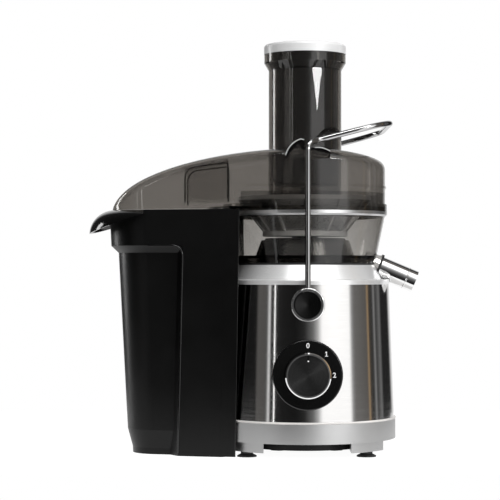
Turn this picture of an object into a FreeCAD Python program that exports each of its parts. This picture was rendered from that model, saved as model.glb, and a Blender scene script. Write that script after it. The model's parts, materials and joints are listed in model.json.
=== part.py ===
"""Centrifugal juicer: motor base, bowl, basket, lid with feed chute, lock arm and pulp bin.

Every piece is drawn about the motor axis (X to the spout, -Y to the dial, Z up, millimetres) and then
moved along X, so that the origin lies under the middle of the whole footprint.
"""
import FreeCAD, Part
import math
import operator
import os
from types import SimpleNamespace

import Sketcher
from FreeCAD import Placement, Rotation, Vector

# Driving dimensions: name, millimetres (degrees for angles), meaning
SIZES = [
    ("axis_x", 50.6, "motor axis from the middle of the footprint"),
    ("slide_gap", 0.5, "clearance between pieces that move past each other"),
    ("fit_gap", 0.05, "radial clearance of pins and shafts in their bores"),
    ("skin_gap", 0.2, "clearance between nested shells"),
    ("foot_inset", 13.4, "foot centres inside the base ring's outer radius"),
    ("foot_angle", 40.8, "foot centres from the X axis, degrees"),
    ("foot_height", 5.5, "suction foot below its block"),
    ("cup_radius", 9.5, "suction cup"),
    ("cup_height", 3, "suction cup"),
    ("cup_edge", 1.2, "height of the cup's rim"),
    ("cup_lip", 2, "width of the cup's resting rim"),
    ("cup_dish", 1.5, "hollow under the cup"),
    ("neck_radius", 6, "foot above its cup"),
    ("stem_radius", 3, "foot stem in the block"),
    ("stem_height", 5, "foot stem in the block"),
    ("block_height", 9.5, "foot blocks below the ring"),
    ("block_width", 24, "foot blocks, along the radius"),
    ("block_inset", 4, "foot blocks inside the base ring's outer radius"),
    ("foot_margin", 8, "recess between two blocks, from the foot centres"),
    ("ring_radius", 90, "base ring outside"),
    ("ring_height", 19, "base ring"),
    ("ring_wall", 5, "base ring wall"),
    ("web_thickness", 4, "floor of the base ring"),
    ("web_margin", 4, "floor of the base ring inside the cover screws"),
    ("cover_thickness", 8.5, "bottom cover"),
    ("cover_boss_radius", 7, "screw bosses under the cover"),
    ("cover_boss_height", 0.5, "screw bosses under the cover"),
    ("screw_inset", 6, "cover screws inside the foot blocks"),
    ("screw_radius", 2, "cover screw shank"),
    ("screw_head_radius", 3.6, "cover screw head"),
    ("screw_head_height", 2.2, "cover screw head"),
    ("vent_inner", 20, "start of the cooling slots"),
    ("vent_margin", 5, "cooling slots from the screw bosses"),
    ("vent_width", 4, "cooling slots"),
    ("bead_inset", 0.1, "straight part of the trim bead inside the base ring"),
    ("bead_height", 2, "trim bead"),
    ("bead_round", 1.2, "rounding of the trim bead"),
    ("wrap_inset", 1.5, "steel wrap inside the base ring at the bottom"),
    ("wrap_taper", 5, "draw-in of the steel wrap, bottom to top"),
    ("wrap_height", 131, "steel wrap"),
    ("wrap_sheet", 1, "steel wrap sheet"),
    ("shell_wall", 2.5, "chassis wall"),
    ("shell_flange_width", 11.5, "chassis top flange"),
    ("flange_thickness", 4, "chassis top flange"),
    ("ledge_over", 0.5, "collar ledge beyond the top of the steel wrap"),
    ("ledge_height", 5, "collar ledge"),
    ("ledge_round", 1.5, "collar ledge top edge"),
    ("ledge_width", 8, "collar ledge outside its cone"),
    ("cone_taper", 6.5, "draw-in of the collar cone, bottom to top"),
    ("cone_height", 14, "collar cone"),
    ("collar_lip", 2.7, "top edge of the collar"),
    ("deck_gap", 0.7, "between the drive tower and the collar's deck"),
    ("flange_width", 4.8, "drive tower flange under the deck"),
    ("tower_foot", 46.5, "drive tower radius at the bottom"),
    ("tower_head", 40, "drive tower radius at the top"),
    ("tower_straight", 25, "upright part of the drive tower above the wrap"),
    ("tower_rise", 41, "drive tower above the deck"),
    ("tower_wall", 3, "drive tower wall and flange"),
    ("tower_roof", 4, "drive tower top"),
    ("seal_radius", 9, "shaft seal outside"),
    ("shaft_radius", 5, "motor shaft"),
    ("fan_clear", 3, "between the base ring's floor and the fan"),
    ("damper_radius", 4, "rubber motor mounts"),
    ("bracket_inset", 0.5, "upper motor bracket inside the tower flange"),
    ("bracket_plate", 5, "motor bracket plates"),
    ("bracket_hub", 4, "bearing hub wall"),
    ("hub_depth", 3, "bearing hub below its plate"),
    ("bearing_radius", 13, "bearing outside"),
    ("column_radius", 3.5, "bracket columns"),
    ("column_circle", 41, "bracket columns from the axis"),
    ("column_height", 18, "stator below the upper bracket"),
    ("stator_radius", 46, "stator stack outside"),
    ("stator_bore", 25, "stator stack inside"),
    ("stator_height", 40, "stator stack"),
    ("coil_inner", 27, "field coil ends inside"),
    ("coil_outer", 36, "field coil ends outside"),
    ("coil_height", 10, "field coil ends"),
    ("air_gap", 0.8, "between armature and stator"),
    ("winding_radius", 21, "armature winding ends"),
    ("winding_height", 8, "armature winding ends"),
    ("lower_column", 31, "lower bracket below the stator"),
    ("commutator_radius", 15, "commutator"),
    ("commutator_height", 14, "commutator"),
    ("brush_length", 24, "brush holders"),
    ("brush_width", 10, "brush holders"),
    ("brush_height", 18, "brush holders above the lower bracket"),
    ("fan_inset", 8, "cooling fan inside the opening of the base ring's floor"),
    ("fan_hub", 10, "cooling fan hub"),
    ("fan_height", 16, "cooling fan blades"),
    ("fan_plate", 2, "cooling fan disc and blades"),
    ("fan_drop", 7, "between the fan and the lower bearing hub"),
    ("dial_rise", 45, "dial centre above the trim bead"),
    ("bezel_radius", 33.5, "dial bezel"),
    ("bezel_proud", 1.5, "bezel face in front of the wrap's foot radius"),
    ("bezel_depth", 12, "dial bezel"),
    ("bezel_wall", 2.5, "dial bezel wall and face"),
    ("bezel_round", 1.2, "dial bezel edge"),
    ("knob_radius", 22.3, "dial knob at the bezel"),
    ("knob_head", 21.8, "dial knob at its rim"),
    ("knob_height", 9, "dial knob below its rim"),
    ("rim_inner", 19.4, "bright ring on the knob"),
    ("rim_height", 2.4, "bright ring on the knob"),
    ("rim_chamfer", 1.1, "bright ring's outer edge"),
    ("face_height", 1.6, "spun disc on the knob"),
    ("spindle_radius", 3, "dial spindle"),
    ("spindle_grip", 7, "dial spindle inside the knob"),
    ("switch_half", 17, "rotary switch, half its width"),
    ("switch_depth", 20, "rotary switch"),
    ("pivot_drop", 19, "arm pivot below the top of the wrap"),
    ("boss_radius", 8, "pivot boss through the wrap"),
    ("boss_flange", 11, "pivot boss inside the wrap"),
    ("boss_flange_height", 4, "pivot boss inside the wrap"),
    ("boss_length", 7, "pivot boss outside its flange"),
    ("boss_seat", 1.5, "pivot boss end beyond the wrap's head radius"),
    ("pin_radius", 6, "pivot pin"),
    ("hub_radius", 16, "arm hub"),
    ("hub_thickness", 9, "arm hub"),
    ("hub_round", 1, "arm hub edge"),
    ("cap_disc_radius", 13.8, "arm hub cap"),
    ("cap_disc_height", 4, "arm hub cap"),
    ("cap_disc_dish", 1.4, "hollow in the arm hub cap"),
    ("interlock_half", 8, "interlock switch, half its width"),
    ("interlock_depth", 14, "interlock switch"),
    ("wire_radius", 2.75, "lock arm wire"),
    ("wire_seat", 7.5, "end of the wire above the pivot"),
    ("arm_rise", 63, "corner of the arm above the bowl rim"),
    ("jog_reach", 11, "arm jog, sideways"),
    ("jog_rise", 3.5, "arm jog, upwards"),
    ("jog_inward", 9, "arm jog, inwards"),
    ("grip_reach", 81.3, "cross grip of the arm from the motor axis"),
    ("grip_rise", 18, "cross grip above the jog"),
    ("arm_bend", 8, "bend at the top of each leg"),
    ("jog_bend", 10, "bend after the jog"),
    ("grip_bend", 34, "bends of the cross grip"),
    ("gasket_height", 2, "bowl gasket"),
    ("skirt_gap", 0.4, "between the bowl skirt and the collar"),
    ("bowl_wall", 2.4, "bowl walls"),
    ("bowl_over", 0.5, "bowl beyond the top of the collar"),
    ("bowl_flare", 10, "widening of the bowl, bottom to top"),
    ("bowl_height", 51, "bowl above its gasket"),
    ("rim_over", 1.5, "bowl rim beyond the bowl wall"),
    ("bowl_rim_height", 2.5, "bowl rim"),
    ("floor_rise", 7.5, "bowl floor above the gasket"),
    ("dam_gap", 1, "between the drive tower and the bowl's inner wall"),
    ("dam_drop", 2, "bowl's inner wall below the tower top"),
    ("spout_radius", 10.75, "spout tube outside"),
    ("spout_sheet", 1, "spout tube wall"),
    ("spout_tilt", 22.8, "spout below the horizontal, degrees"),
    ("spout_out", 25.5, "spout tip beyond the ledge"),
    ("spout_drop", 2.4, "spout tip below the ledge"),
    ("spout_length", 55, "spout tube"),
    ("spout_bead", 0.35, "rolled bead near the spout tip"),
    ("spout_bead_place", 10, "bead from the spout tip"),
    ("spout_bead_width", 1.2, "rolled bead near the spout tip"),
    ("nozzle_wall", 1.75, "bowl nozzle round the spout"),
    ("nozzle_inset", 3.2, "end of the bowl nozzle inside the foot of the collar cone"),
    ("nozzle_depth", 20, "bowl nozzle"),
    ("spout_seal_width", 2.2, "spout seal"),
    ("coupling_radius", 13, "hexagonal drive coupling, corner to axis"),
    ("coupling_height", 9.5, "drive coupling"),
    ("basket_lift", 2, "basket above the drive tower"),
    ("basket_room", 8.8, "filter cone inside the lid spigot, at the top"),
    ("basket_height", 30, "filter cone"),
    ("basket_sheet", 0.8, "filter cone sheet"),
    ("basket_floor", 5, "basket hub"),
    ("basket_boss", 18, "basket hub boss"),
    ("basket_boss_height", 5.5, "basket hub boss"),
    ("frame_ring", 2.2, "rings and ribs of the basket frame"),
    ("frame_top", 4, "top ring of the basket frame"),
    ("rib_width", 2.4, "basket ribs"),
    ("grater_radius", 30, "grater disc"),
    ("grater_rise", 13, "grater disc dome"),
    ("grater_sheet", 1.2, "grater disc sheet"),
    ("tooth_first", 9, "innermost ring of teeth"),
    ("tooth_pitch", 7, "between two rings of teeth"),
    ("tooth_length", 2.6, "grater teeth"),
    ("tooth_width", 1.4, "grater teeth"),
    ("tooth_height", 1.5, "grater teeth"),
    ("tooth_edge", 0.35, "cutting edge of a tooth, across"),
    ("tooth_land", 1, "cutting edge of a tooth, along"),
    ("lid_wall", 2.4, "lid walls"),
    ("lid_rise", 59.5, "crown of the lid above the bowl rim"),
    ("duct_reach", 147, "centre of the duct's rounded end from the motor axis"),
    ("duct_narrow", 0.235, "sine of the angle by which the duct narrows"),
    ("dome_over", 1.5, "roof ellipse beyond the duct's rounded end"),
    ("dome_height", 66, "half height of the roof ellipse"),
    ("crown_radius", 312, "roof arc towards the spout"),
    ("shoulder_round", 10, "rounding between roof and wall"),
    ("band_over", 0.3, "lid band beyond the bowl rim"),
    ("band_height", 7, "lid band"),
    ("spigot_gap", 2.4, "between the lid spigot and the bowl wall"),
    ("spigot_depth", 6, "lid spigot inside the bowl"),
    ("apron_over", 4, "lid floor beyond the near wall of the pulp bin"),
    ("ridge_rise", 23, "ridge on the lid wall above the bowl rim"),
    ("ridge_proud", 0.9, "ridge on the lid wall"),
    ("ridge_height", 1.8, "ridge on the lid wall"),
    ("ridge_start", 62, "end of the ridge towards the bin, from the motor axis"),
    ("guide_start", 119, "outer end of the pulp guides from the motor axis"),
    ("guide_end", 76, "inner end of the pulp guides from the motor axis"),
    ("guide_place", 39, "pulp guides from the middle plane"),
    ("guide_wall", 2, "pulp guides"),
    ("guide_rise", 7, "lower edge of the pulp guides above the lid floor"),
    ("chute_radius", 36.4, "feed chute outside"),
    ("chute_wall", 2.5, "feed chute wall"),
    ("chute_rise", 157, "chute mouth above the bowl rim"),
    ("chute_low", 9, "lower end of the chute above the bowl rim"),
    ("mouth_radius", 40.8, "chute mouth"),
    ("mouth_height", 8.5, "chute mouth band"),
    ("mouth_flare", 7.5, "cone under the mouth band"),
    ("lug_half", 21.5, "lock lug, half its length"),
    ("lug_low", 49, "lock lug foot above the bowl rim"),
    ("lug_high", 67, "tall half of the lock lug above the bowl rim"),
    ("lug_apex", 6.7, "tip of the tall half from the middle"),
    ("lug_notch", 3.5, "end of the tall half from the middle"),
    ("lug_span", 14.6, "lock lug, front to back"),
    ("lug_gap", 0.65, "between the lug and the wire beside it"),
    ("lug_wall", 2, "lug walls"),
    ("lug_pass", 0.8, "wire above the low half of the lug"),
    ("pusher_low", 26, "pusher foot above the bowl rim"),
    ("pusher_round", 3, "pusher foot edge"),
    ("pusher_wall", 2.6, "pusher walls"),
    ("cap_radius", 41, "pusher cap"),
    ("cap_height", 10, "pusher cap"),
    ("cap_round", 3, "pusher cap top edge"),
    ("cap_plug", 4, "pusher cap inside the body"),
    ("bin_over", 1, "bin rim above the bowl rim"),
    ("bin_gap", 3, "between base ring and bin"),
    ("bin_out", 2.5, "bin side beyond the lid, at the rim"),
    ("bin_behind", 0.5, "centre of the bin's rounded end beyond the duct's, at the rim"),
    ("bin_taper", 8, "draw-in of the bin sides, rim to floor"),
    ("bin_end_taper", 6, "draw-in of the bin's rounded end, rim to floor"),
    ("bin_wall", 2.5, "bin walls"),
    ("bin_floor", 3, "bin floor"),
    ("bin_round", 5, "bin corners beside the base"),
    ("grip_depth", 7, "recess of the bin's lower end"),
    ("grip_band", 35, "full-width band under the bin rim"),
    ("grip_back", 25.5, "front edge of the recess from the centre of the rounded end"),
    ("bin_toe_depth", 4, "draw-in at the bin foot"),
    ("bin_toe_height", 24, "draw-in at the bin foot"),
    ("bin_toe_band", 6, "upright band at the bin foot"),
    ("lip_reach", 20, "grip lip beyond the bin's end"),
    ("lip_drop", 23, "grip lip below the rim"),
    ("lip_round", 22, "curve of the grip lip"),
    ("lip_wall", 2.5, "grip lip"),
    ("lip_slope", 18.3, "lower edge of the lip, degrees"),
    ("gland_radius", 6.5, "cord gland in the base ring"),
    ("gland_flange", 8.8, "cord gland flange"),
    ("gland_bore", 3.5, "cord gland opening"),
    ("gland_nose", 8, "cord gland behind the base ring"),
    ("gland_flange_height", 3, "cord gland flange"),
]

FOOT_CORNERS = [(-1, -1), (1, -1), (1, 1), (-1, 1)]
SCREW_ANGLES = [60, 120, 240, 300]
QUARTERS = [45, 135, 225, 315]
VENT_COUNT = 14
FAN_BLADES = 9
RIB_COUNT = 12
TOOTH_RINGS = 3
FIRST_TEETH = 6
FRONT = Rotation(Vector(1, 0, 0), 90)
REAR = Rotation(Vector(1, 0, 0), -90)


class Size:
    """A length that carries its value and the sheet expression that it comes from."""

    SIGNS = {"+": operator.add, "-": operator.sub, "*": operator.mul, "/": operator.truediv}

    def __init__(self, value, text):
        self.value = value
        self.text = text

    @classmethod
    def joined(cls, left, sign, right):
        total = cls.SIGNS[sign](number(left), number(right))
        return cls(total, f"({wording(left)} {sign} {wording(right)})")

    def __add__(self, other):
        return Size.joined(self, "+", other)

    def __radd__(self, other):
        return Size.joined(other, "+", self)

    def __sub__(self, other):
        return Size.joined(self, "-", other)

    def __rsub__(self, other):
        return Size.joined(other, "-", self)

    def __mul__(self, other):
        return Size.joined(self, "*", other)

    def __rmul__(self, other):
        return Size.joined(other, "*", self)

    def __truediv__(self, other):
        return Size.joined(self, "/", other)

    def __neg__(self):
        return Size.joined(0, "-", self)


def number(amount):
    return amount.value if isinstance(amount, Size) else float(amount)


def wording(amount):
    return amount.text if isinstance(amount, Size) else f"({float(amount)})"


def cosine(angle):
    return Size(math.cos(math.radians(angle.value)), f"cos({angle.text} * 1 deg)")


def sine(angle):
    return Size(math.sin(math.radians(angle.value)), f"sin({angle.text} * 1 deg)")


def fill_sheet():
    sheet = doc.addObject("Spreadsheet::Sheet", "Dims")
    cells = {}
    for row, (name, amount, meaning) in enumerate(SIZES, 1):
        sheet.set(f"A{row}", meaning)
        sheet.set(f"B{row}", str(amount))
        sheet.setAlias(f"B{row}", name)
        cells[name] = Size(float(amount), f"Dims.{name}")
    doc.recompute()
    return SimpleNamespace(**cells)


def bind(thing, prop, amount):
    """Sets a property, from the sheet where the amount comes from there."""
    if isinstance(amount, Size):
        thing.setExpression(prop, amount.text)
    else:
        setattr(thing, prop, amount)


def place(thing, x=0.0, y=0.0, z=0.0, rotation=Rotation()):
    thing.Placement = Placement(Vector(number(x), number(y), number(z)), rotation)
    for axis, amount in zip("xyz", (x, y, z)):
        if isinstance(amount, Size):
            thing.setExpression(f"Placement.Base.{axis}", amount.text)
    return thing


def keep(thing, label, x=0.0, y=0.0, z=0.0, rotation=Rotation()):
    """Makes a sub-part of a finished object: its label, its place beside the origin and its file."""
    thing.Label = label
    place(thing, d.axis_x + x, y, z, rotation)
    nodes.append(thing)
    return thing


def bulge(start, end, radius):
    """The arc from start to end; a positive radius turns anticlockwise, a negative one clockwise."""
    chord = end - start
    rise = math.sqrt(max(radius * radius - chord.Length ** 2 / 4, 0))
    side = Vector(-chord.y, chord.x, 0).normalize() * math.copysign(rise, radius)
    centre = (start + end) / 2 + side
    first, last = (start, end) if radius > 0 else (end, start)
    angles = [math.atan2(p.y - centre.y, p.x - centre.x) for p in (first, last)]
    circle = Part.Circle(centre, Vector(0, 0, 1), abs(radius))
    return Part.ArcOfCircle(circle, angles[0], angles[1])


def outline(body, name, role, corners):
    """A closed sketch on one of the body's origin planes, every corner tied to the sheet.

    A corner is (x, y), or (x, y, radius) where the stretch to the next corner is an arc.
    """
    sketch = body.newObject("Sketcher::SketchObject", name)
    plane = next(f for f in body.Origin.OriginFeatures if f.Role == role)
    sketch.AttachmentSupport = (plane, [""])
    sketch.MapMode = "FlatFace"
    count = len(corners)
    spots = [Vector(number(c[0]), number(c[1]), 0) for c in corners]
    starts = []
    for i, corner in enumerate(corners):
        after = spots[(i + 1) % count]
        curved = len(corner) == 3
        starts.append(2 if curved and number(corner[2]) < 0 else 1)
        edge = bulge(spots[i], after, number(corner[2])) if curved else Part.LineSegment(spots[i], after)
        sketch.addGeometry(edge, False)
    for i in range(count):
        after = (i + 1) % count
        sketch.addConstraint(Sketcher.Constraint("Coincident", i, 3 - starts[i], after, starts[after]))
    for i, corner in enumerate(corners):
        rules = [("DistanceX", corner[0]), ("DistanceY", corner[1])]
        for kind, amount in rules:
            index = sketch.addConstraint(Sketcher.Constraint(kind, -1, 1, i, starts[i], number(amount)))
            if isinstance(amount, Size):
                sketch.setExpression(f"Constraints[{index}]", amount.text)
        if len(corner) == 3:
            size = corner[2] if number(corner[2]) > 0 else -corner[2]
            index = sketch.addConstraint(Sketcher.Constraint("Radius", i, number(size)))
            if isinstance(size, Size):
                sketch.setExpression(f"Constraints[{index}]", size.text)
    return sketch


def turned(name, corners):
    """A body revolved about its own Z axis from corners (radius, height)."""
    body = doc.addObject("PartDesign::Body", name)
    sketch = outline(body, name + "_profile", "XZ_Plane", corners)
    spin = body.newObject("PartDesign::Revolution", name + "_turn")
    spin.Profile = sketch
    spin.ReferenceAxis = (sketch, ["V_Axis"])
    spin.Angle = 360
    return body


def padded(name, role, corners, depth):
    """A body padded to both sides of an origin plane from a closed outline."""
    body = doc.addObject("PartDesign::Body", name)
    sketch = outline(body, name + "_profile", role, corners)
    pad = body.newObject("PartDesign::Pad", name + "_pad")
    pad.Profile = sketch
    pad.SideType = "Symmetric"
    bind(pad, "Length", depth)
    return body


def ring(name, inner, outer, low, high):
    return turned(name, [(inner, low), (outer, low), (outer, high), (inner, high)])


def cylinder(name, radius, low, high, x=0.0, y=0.0):
    thing = doc.addObject("Part::Cylinder", name)
    bind(thing, "Radius", radius)
    bind(thing, "Height", high - low)
    return place(thing, x, y, low)


def rod(name, radius, start, end, z, rotation):
    """A cylinder along Y, between two distances from the motor axis."""
    thing = doc.addObject("Part::Cylinder", name)
    bind(thing, "Radius", radius)
    bind(thing, "Height", end - start)
    return place(thing, 0.0, -start if rotation is FRONT else start, z, rotation)


def block(name, x, y, z):
    """A box between (low, high) pairs along each axis."""
    thing = doc.addObject("Part::Box", name)
    for prop, (low, high) in zip(("Length", "Width", "Height"), (x, y, z)):
        bind(thing, prop, high - low)
    return place(thing, x[0], y[0], z[0])


def spun(thing, angle):
    """Turns a piece about the motor axis."""
    turn = Placement(Vector(), Rotation(Vector(0, 0, 1), angle))
    copy = doc.addObject("Part::Compound", f"{thing.Name}_{int(angle)}")
    copy.Links = [thing]
    copy.Placement = turn
    return copy


def fused(name, *things):
    joined = doc.addObject("Part::MultiFuse", name)
    joined.Shapes = list(things)
    joined.Refine = True
    return joined


def cut(name, base, *tools):
    carved = doc.addObject("Part::Cut", name)
    carved.Base = base
    carved.Tool = tools[0] if len(tools) == 1 else fused(name + "_tools", *tools)
    carved.Refine = True
    return carved


def shaped(name, shape):
    thing = doc.addObject("Part::Feature", name)
    thing.Shape = shape
    return thing


def on_circle(radius, angle):
    """X and Y at a distance from the motor axis."""
    turn = math.radians(angle)
    return radius * math.cos(turn), radius * math.sin(turn)


doc = FreeCAD.newDocument("CentrifugalJuicer")
d = fill_sheet()
nodes = []

# Base, from the table up to the collar: each radius follows from the base ring's
foot_circle = d.ring_radius - d.foot_inset
foot_x = foot_circle * cosine(d.foot_angle)
foot_y = foot_circle * sine(d.foot_angle)
recess_half = foot_y - d.foot_margin
block_outer = d.ring_radius - d.block_inset
block_inner = block_outer - d.block_width
screw_circle = block_inner - d.screw_inset
web_inner = screw_circle - d.web_margin
vent_end = screw_circle - d.cover_boss_radius - d.vent_margin
fan_radius = web_inner - d.fan_inset
wrap_foot = d.ring_radius - d.wrap_inset
wrap_head = wrap_foot - d.wrap_taper
ledge_radius = wrap_head + d.ledge_over
cone_foot = ledge_radius - d.ledge_width
cone_head = cone_foot - d.cone_taper
well_radius = cone_head - d.collar_lip
deck_bore = d.tower_foot + d.deck_gap
tower_flange = deck_bore + d.flange_width

# Bowl, basket, lid and bin, on the collar
bowl_foot = cone_head + d.bowl_over
bowl_head = bowl_foot + d.bowl_flare
bowl_rim = bowl_head + d.rim_over
band_radius = bowl_rim + d.band_over
spigot_radius = bowl_head - d.bowl_wall - d.spigot_gap
spigot_inner = spigot_radius - d.lid_wall
basket_head = spigot_inner - d.basket_room
spout_reach = ledge_radius + d.spout_out
nozzle_reach = cone_foot - d.nozzle_inset
duct_end = bowl_head - d.duct_reach * d.duct_narrow
dome_reach = d.duct_reach + duct_end + d.dome_over
bin_radius = bowl_head + d.bin_out
bin_reach = d.duct_reach + d.bin_behind

# Levels of the stack above the table
ring_low = d.foot_height + d.block_height
ring_top = ring_low + d.ring_height
bead_top = ring_top + d.bead_height
wrap_top = bead_top + d.wrap_height
ledge_top = wrap_top + d.ledge_height
collar_top = ledge_top + d.cone_height
bowl_low = collar_top + d.gasket_height
rim_top = bowl_low + d.bowl_height
floor_top = bowl_low + d.floor_rise
tower_top = ledge_top + d.tower_rise
knee = wrap_top + d.tower_straight
crown = rim_top + d.lid_rise
mouth_top = rim_top + d.chute_rise
bin_top = rim_top + d.bin_over
duct_low = bin_top + d.slide_gap
dial_z = bead_top + d.dial_rise
pivot_z = wrap_top - d.pivot_drop

# Levels of the motor, from the fan up to the rubber mounts under the drive tower
shaft_low = ring_low + d.web_thickness + d.fan_clear
fan_top = shaft_low + d.fan_height + d.fan_plate
lower_low = fan_top + d.fan_drop + d.hub_depth
lower_top = lower_low + d.bracket_plate
stator_low = lower_top + d.lower_column
stator_top = stator_low + d.stator_height
upper_low = stator_top + d.column_height
upper_top = upper_low + d.bracket_plate
flange_low = wrap_top - d.tower_wall

# Fronts of the dial and pivot pieces, from the motor axis
bezel_face = wrap_foot + d.bezel_proud
knob_back = bezel_face + d.slide_gap
knob_seat = knob_back + d.knob_height
boss_end = wrap_head + d.boss_seat
hub_back = boss_end + d.slide_gap
hub_face = hub_back + d.hub_thickness
arm_plane = hub_back + d.hub_thickness / 2


def build_feet():
    profile = [
        (0.0, d.cup_dish),
        (d.cup_radius - d.cup_lip, 0.0),
        (d.cup_radius, 0.0),
        (d.cup_radius, d.cup_edge),
        (d.neck_radius, d.cup_height),
        (d.neck_radius, d.foot_height),
        (d.stem_radius, d.foot_height),
        (d.stem_radius, d.foot_height + d.stem_height),
        (0.0, d.foot_height + d.stem_height),
    ]
    for count, (side, depth) in enumerate(FOOT_CORNERS, 1):
        label = f"suction_foot_{count}"
        keep(turned(label, profile), label, side * foot_x, depth * foot_y)


def build_base_ring():
    inner = d.ring_radius - d.ring_wall
    blank = turned("ring_blank", [
        (d.ring_radius, ring_low),
        (d.ring_radius, ring_top),
        (inner, ring_top),
        (inner, ring_low + d.web_thickness),
        (web_inner, ring_low + d.web_thickness),
        (web_inner, ring_low),
        (block_inner, ring_low),
        (block_inner, d.foot_height),
        (block_outer, d.foot_height),
        (block_outer, ring_low),
    ])
    wide = (-d.ring_radius, d.ring_radius)
    narrow = (-recess_half, recess_half)
    deep = (d.foot_height - d.cup_height, ring_low)
    tools = [block("recess_across", wide, narrow, deep), block("recess_along", narrow, wide, deep)]
    stem_high = d.foot_height + d.stem_height
    for side, depth in FOOT_CORNERS:
        hole = cylinder("stem_hole", d.stem_radius + d.fit_gap, d.foot_height, stem_high,
                        side * foot_x, depth * foot_y)
        tools.append(hole)
    for angle in SCREW_ANGLES:
        x, y = on_circle(screw_circle, angle)
        tools.append(cylinder("web_hole", d.screw_radius + d.fit_gap, d.foot_height, ring_top, x, y))
    gland_z = ring_low + d.ring_height / 2
    tools.append(rod("gland_hole", d.gland_radius + d.fit_gap, inner - d.ring_wall,
                     d.ring_radius + d.ring_wall, gland_z, REAR))
    keep(cut("base_ring", blank, *tools), "base_ring")

    bead = d.ring_radius - d.bead_inset
    keep(turned("trim_bead", [(inner, ring_top), (bead, ring_top, d.bead_round), (bead, bead_top),
                              (inner, bead_top)]), "trim_bead")

    flange = d.ring_radius + d.gland_flange_height
    keep(turned("cord_gland", [
        (d.gland_bore, inner),
        (d.gland_radius, inner),
        (d.gland_radius, d.ring_radius),
        (d.gland_flange, d.ring_radius),
        (d.gland_flange, flange),
        (d.gland_radius, flange),
        (d.gland_bore + d.ring_wall / 2, d.ring_radius + d.gland_nose),
        (d.gland_bore, d.ring_radius + d.gland_nose),
    ]), "cord_gland", 0.0, 0.0, gland_z, REAR)


def build_bottom_cover():
    cover_low = ring_low - d.cover_thickness
    boss_low = cover_low - d.cover_boss_height
    pieces = [cylinder("cover_plate", block_inner - d.skin_gap, cover_low, ring_low)]
    holes = []
    screws = []
    head_top = boss_low + d.screw_head_height
    for angle in SCREW_ANGLES:
        x, y = on_circle(screw_circle, angle)
        pieces.append(cylinder("cover_boss", d.cover_boss_radius, boss_low, ring_low, x, y))
        holes.append(cylinder("screw_hole", d.screw_radius + d.fit_gap, boss_low, ring_low, x, y))
        holes.append(cylinder("head_hole", d.screw_head_radius + d.fit_gap, boss_low, head_top, x, y))
        shank_top = ring_low + d.web_thickness
        head = cylinder("screw_head", d.screw_head_radius, boss_low, head_top, x, y)
        shank = cylinder("screw_shank", d.screw_radius, boss_low, shank_top, x, y)
        screws.append(fused("cover_screw", head, shank))
    slot = block("vent_slot", (d.vent_inner, vent_end),
                 (-d.vent_width / 2, d.vent_width / 2), (cover_low, ring_low))
    holes += [spun(slot, 360 * i / VENT_COUNT) for i in range(VENT_COUNT)]
    trimmed = doc.addObject("Part::MultiCommon", "cover_round")
    trimmed.Shapes = [fused("cover_blank", *pieces),
                      cylinder("cover_limit", block_inner - d.skin_gap, boss_low, ring_low)]
    keep(cut("bottom_cover", trimmed, *holes), "bottom_cover")
    group = doc.addObject("Part::Compound", "cover_screws")
    group.Links = screws
    keep(group, "cover_screws")


def build_housing():
    sheet = d.wrap_sheet
    wrap = turned("wrap_blank", [(wrap_foot, bead_top), (wrap_head, wrap_top),
                                 (wrap_head - sheet, wrap_top), (wrap_foot - sheet, bead_top)])
    skin = sheet + d.skin_gap
    foot = wrap_foot - skin
    head = wrap_head - skin
    flange = wrap_head - d.shell_flange_width
    shell = turned("chassis_blank", [
        (foot, bead_top),
        (head, wrap_top),
        (flange, wrap_top),
        (flange, wrap_top - d.flange_thickness),
        (head - d.shell_wall, wrap_top - d.flange_thickness),
        (foot - d.shell_wall, bead_top),
    ])
    reach = wrap_foot + d.wrap_sheet
    depth = wrap_head - d.bezel_radius
    for name, blank in (("steel_wrap", wrap), ("chassis", shell)):
        dial_hole = rod("dial_hole", d.bezel_radius + d.skin_gap, depth, reach, dial_z, FRONT)
        bore = d.boss_radius + d.skin_gap
        pivots = [rod("pivot_hole", bore, depth, reach, pivot_z, side) for side in (FRONT, REAR)]
        keep(cut(name, blank, dial_hole, *pivots), name)


def spout_axis(distance):
    """X and Z on the spout's axis, a distance back from its tip."""
    x = spout_reach - distance * cosine(d.spout_tilt)
    z = ledge_top - d.spout_drop + distance * sine(d.spout_tilt)
    return x, z


def along_spout(thing, distance, x=0.0):
    """Lays a turned piece on the spout's axis, starting a distance back from the tip."""
    along, height = spout_axis(distance)
    place(thing, along + x, 0.0, height, Rotation(Vector(0, 1, 0), 90))
    thing.setExpression("Placement.Rotation.Angle", (90 + d.spout_tilt).text)
    return thing


def slanted(name, radius, start, end):
    """A cylinder on the spout's axis between two distances back from the tip."""
    thing = doc.addObject("Part::Cylinder", name)
    bind(thing, "Radius", radius)
    bind(thing, "Height", start - end)
    return along_spout(thing, start)


nozzle_radius = d.spout_radius + d.nozzle_wall
nozzle_end = (spout_reach - nozzle_reach) / cosine(d.spout_tilt)


def spout_notch(name, top):
    """The open notch through which nozzle, seal and spout drop in from above."""
    room = nozzle_radius + d.slide_gap
    seal_end = nozzle_end - d.spout_seal_width - d.slide_gap
    trough = slanted(name + "_trough", room, nozzle_end + d.nozzle_depth, seal_end)
    groove = slanted(name + "_groove", d.spout_radius + d.spout_bead + d.slide_gap, nozzle_end, d.slide_gap)
    gate = block(name + "_gate", (well_radius - d.nozzle_depth, ledge_radius), (-room, room),
                 (top - d.gasket_height, top + d.gasket_height))
    return trough, groove, gate


def build_collar():
    blank = turned("collar_blank", [
        (deck_bore, wrap_top),
        (ledge_radius, wrap_top),
        (ledge_radius, ledge_top - d.ledge_round, d.ledge_round),
        (ledge_radius - d.ledge_round, ledge_top),
        (cone_foot, ledge_top),
        (cone_head, collar_top),
        (well_radius, collar_top),
        (well_radius, ledge_top),
        (deck_bore, ledge_top),
    ])
    keep(cut("collar", blank, *spout_notch("collar", collar_top)), "collar")


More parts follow.
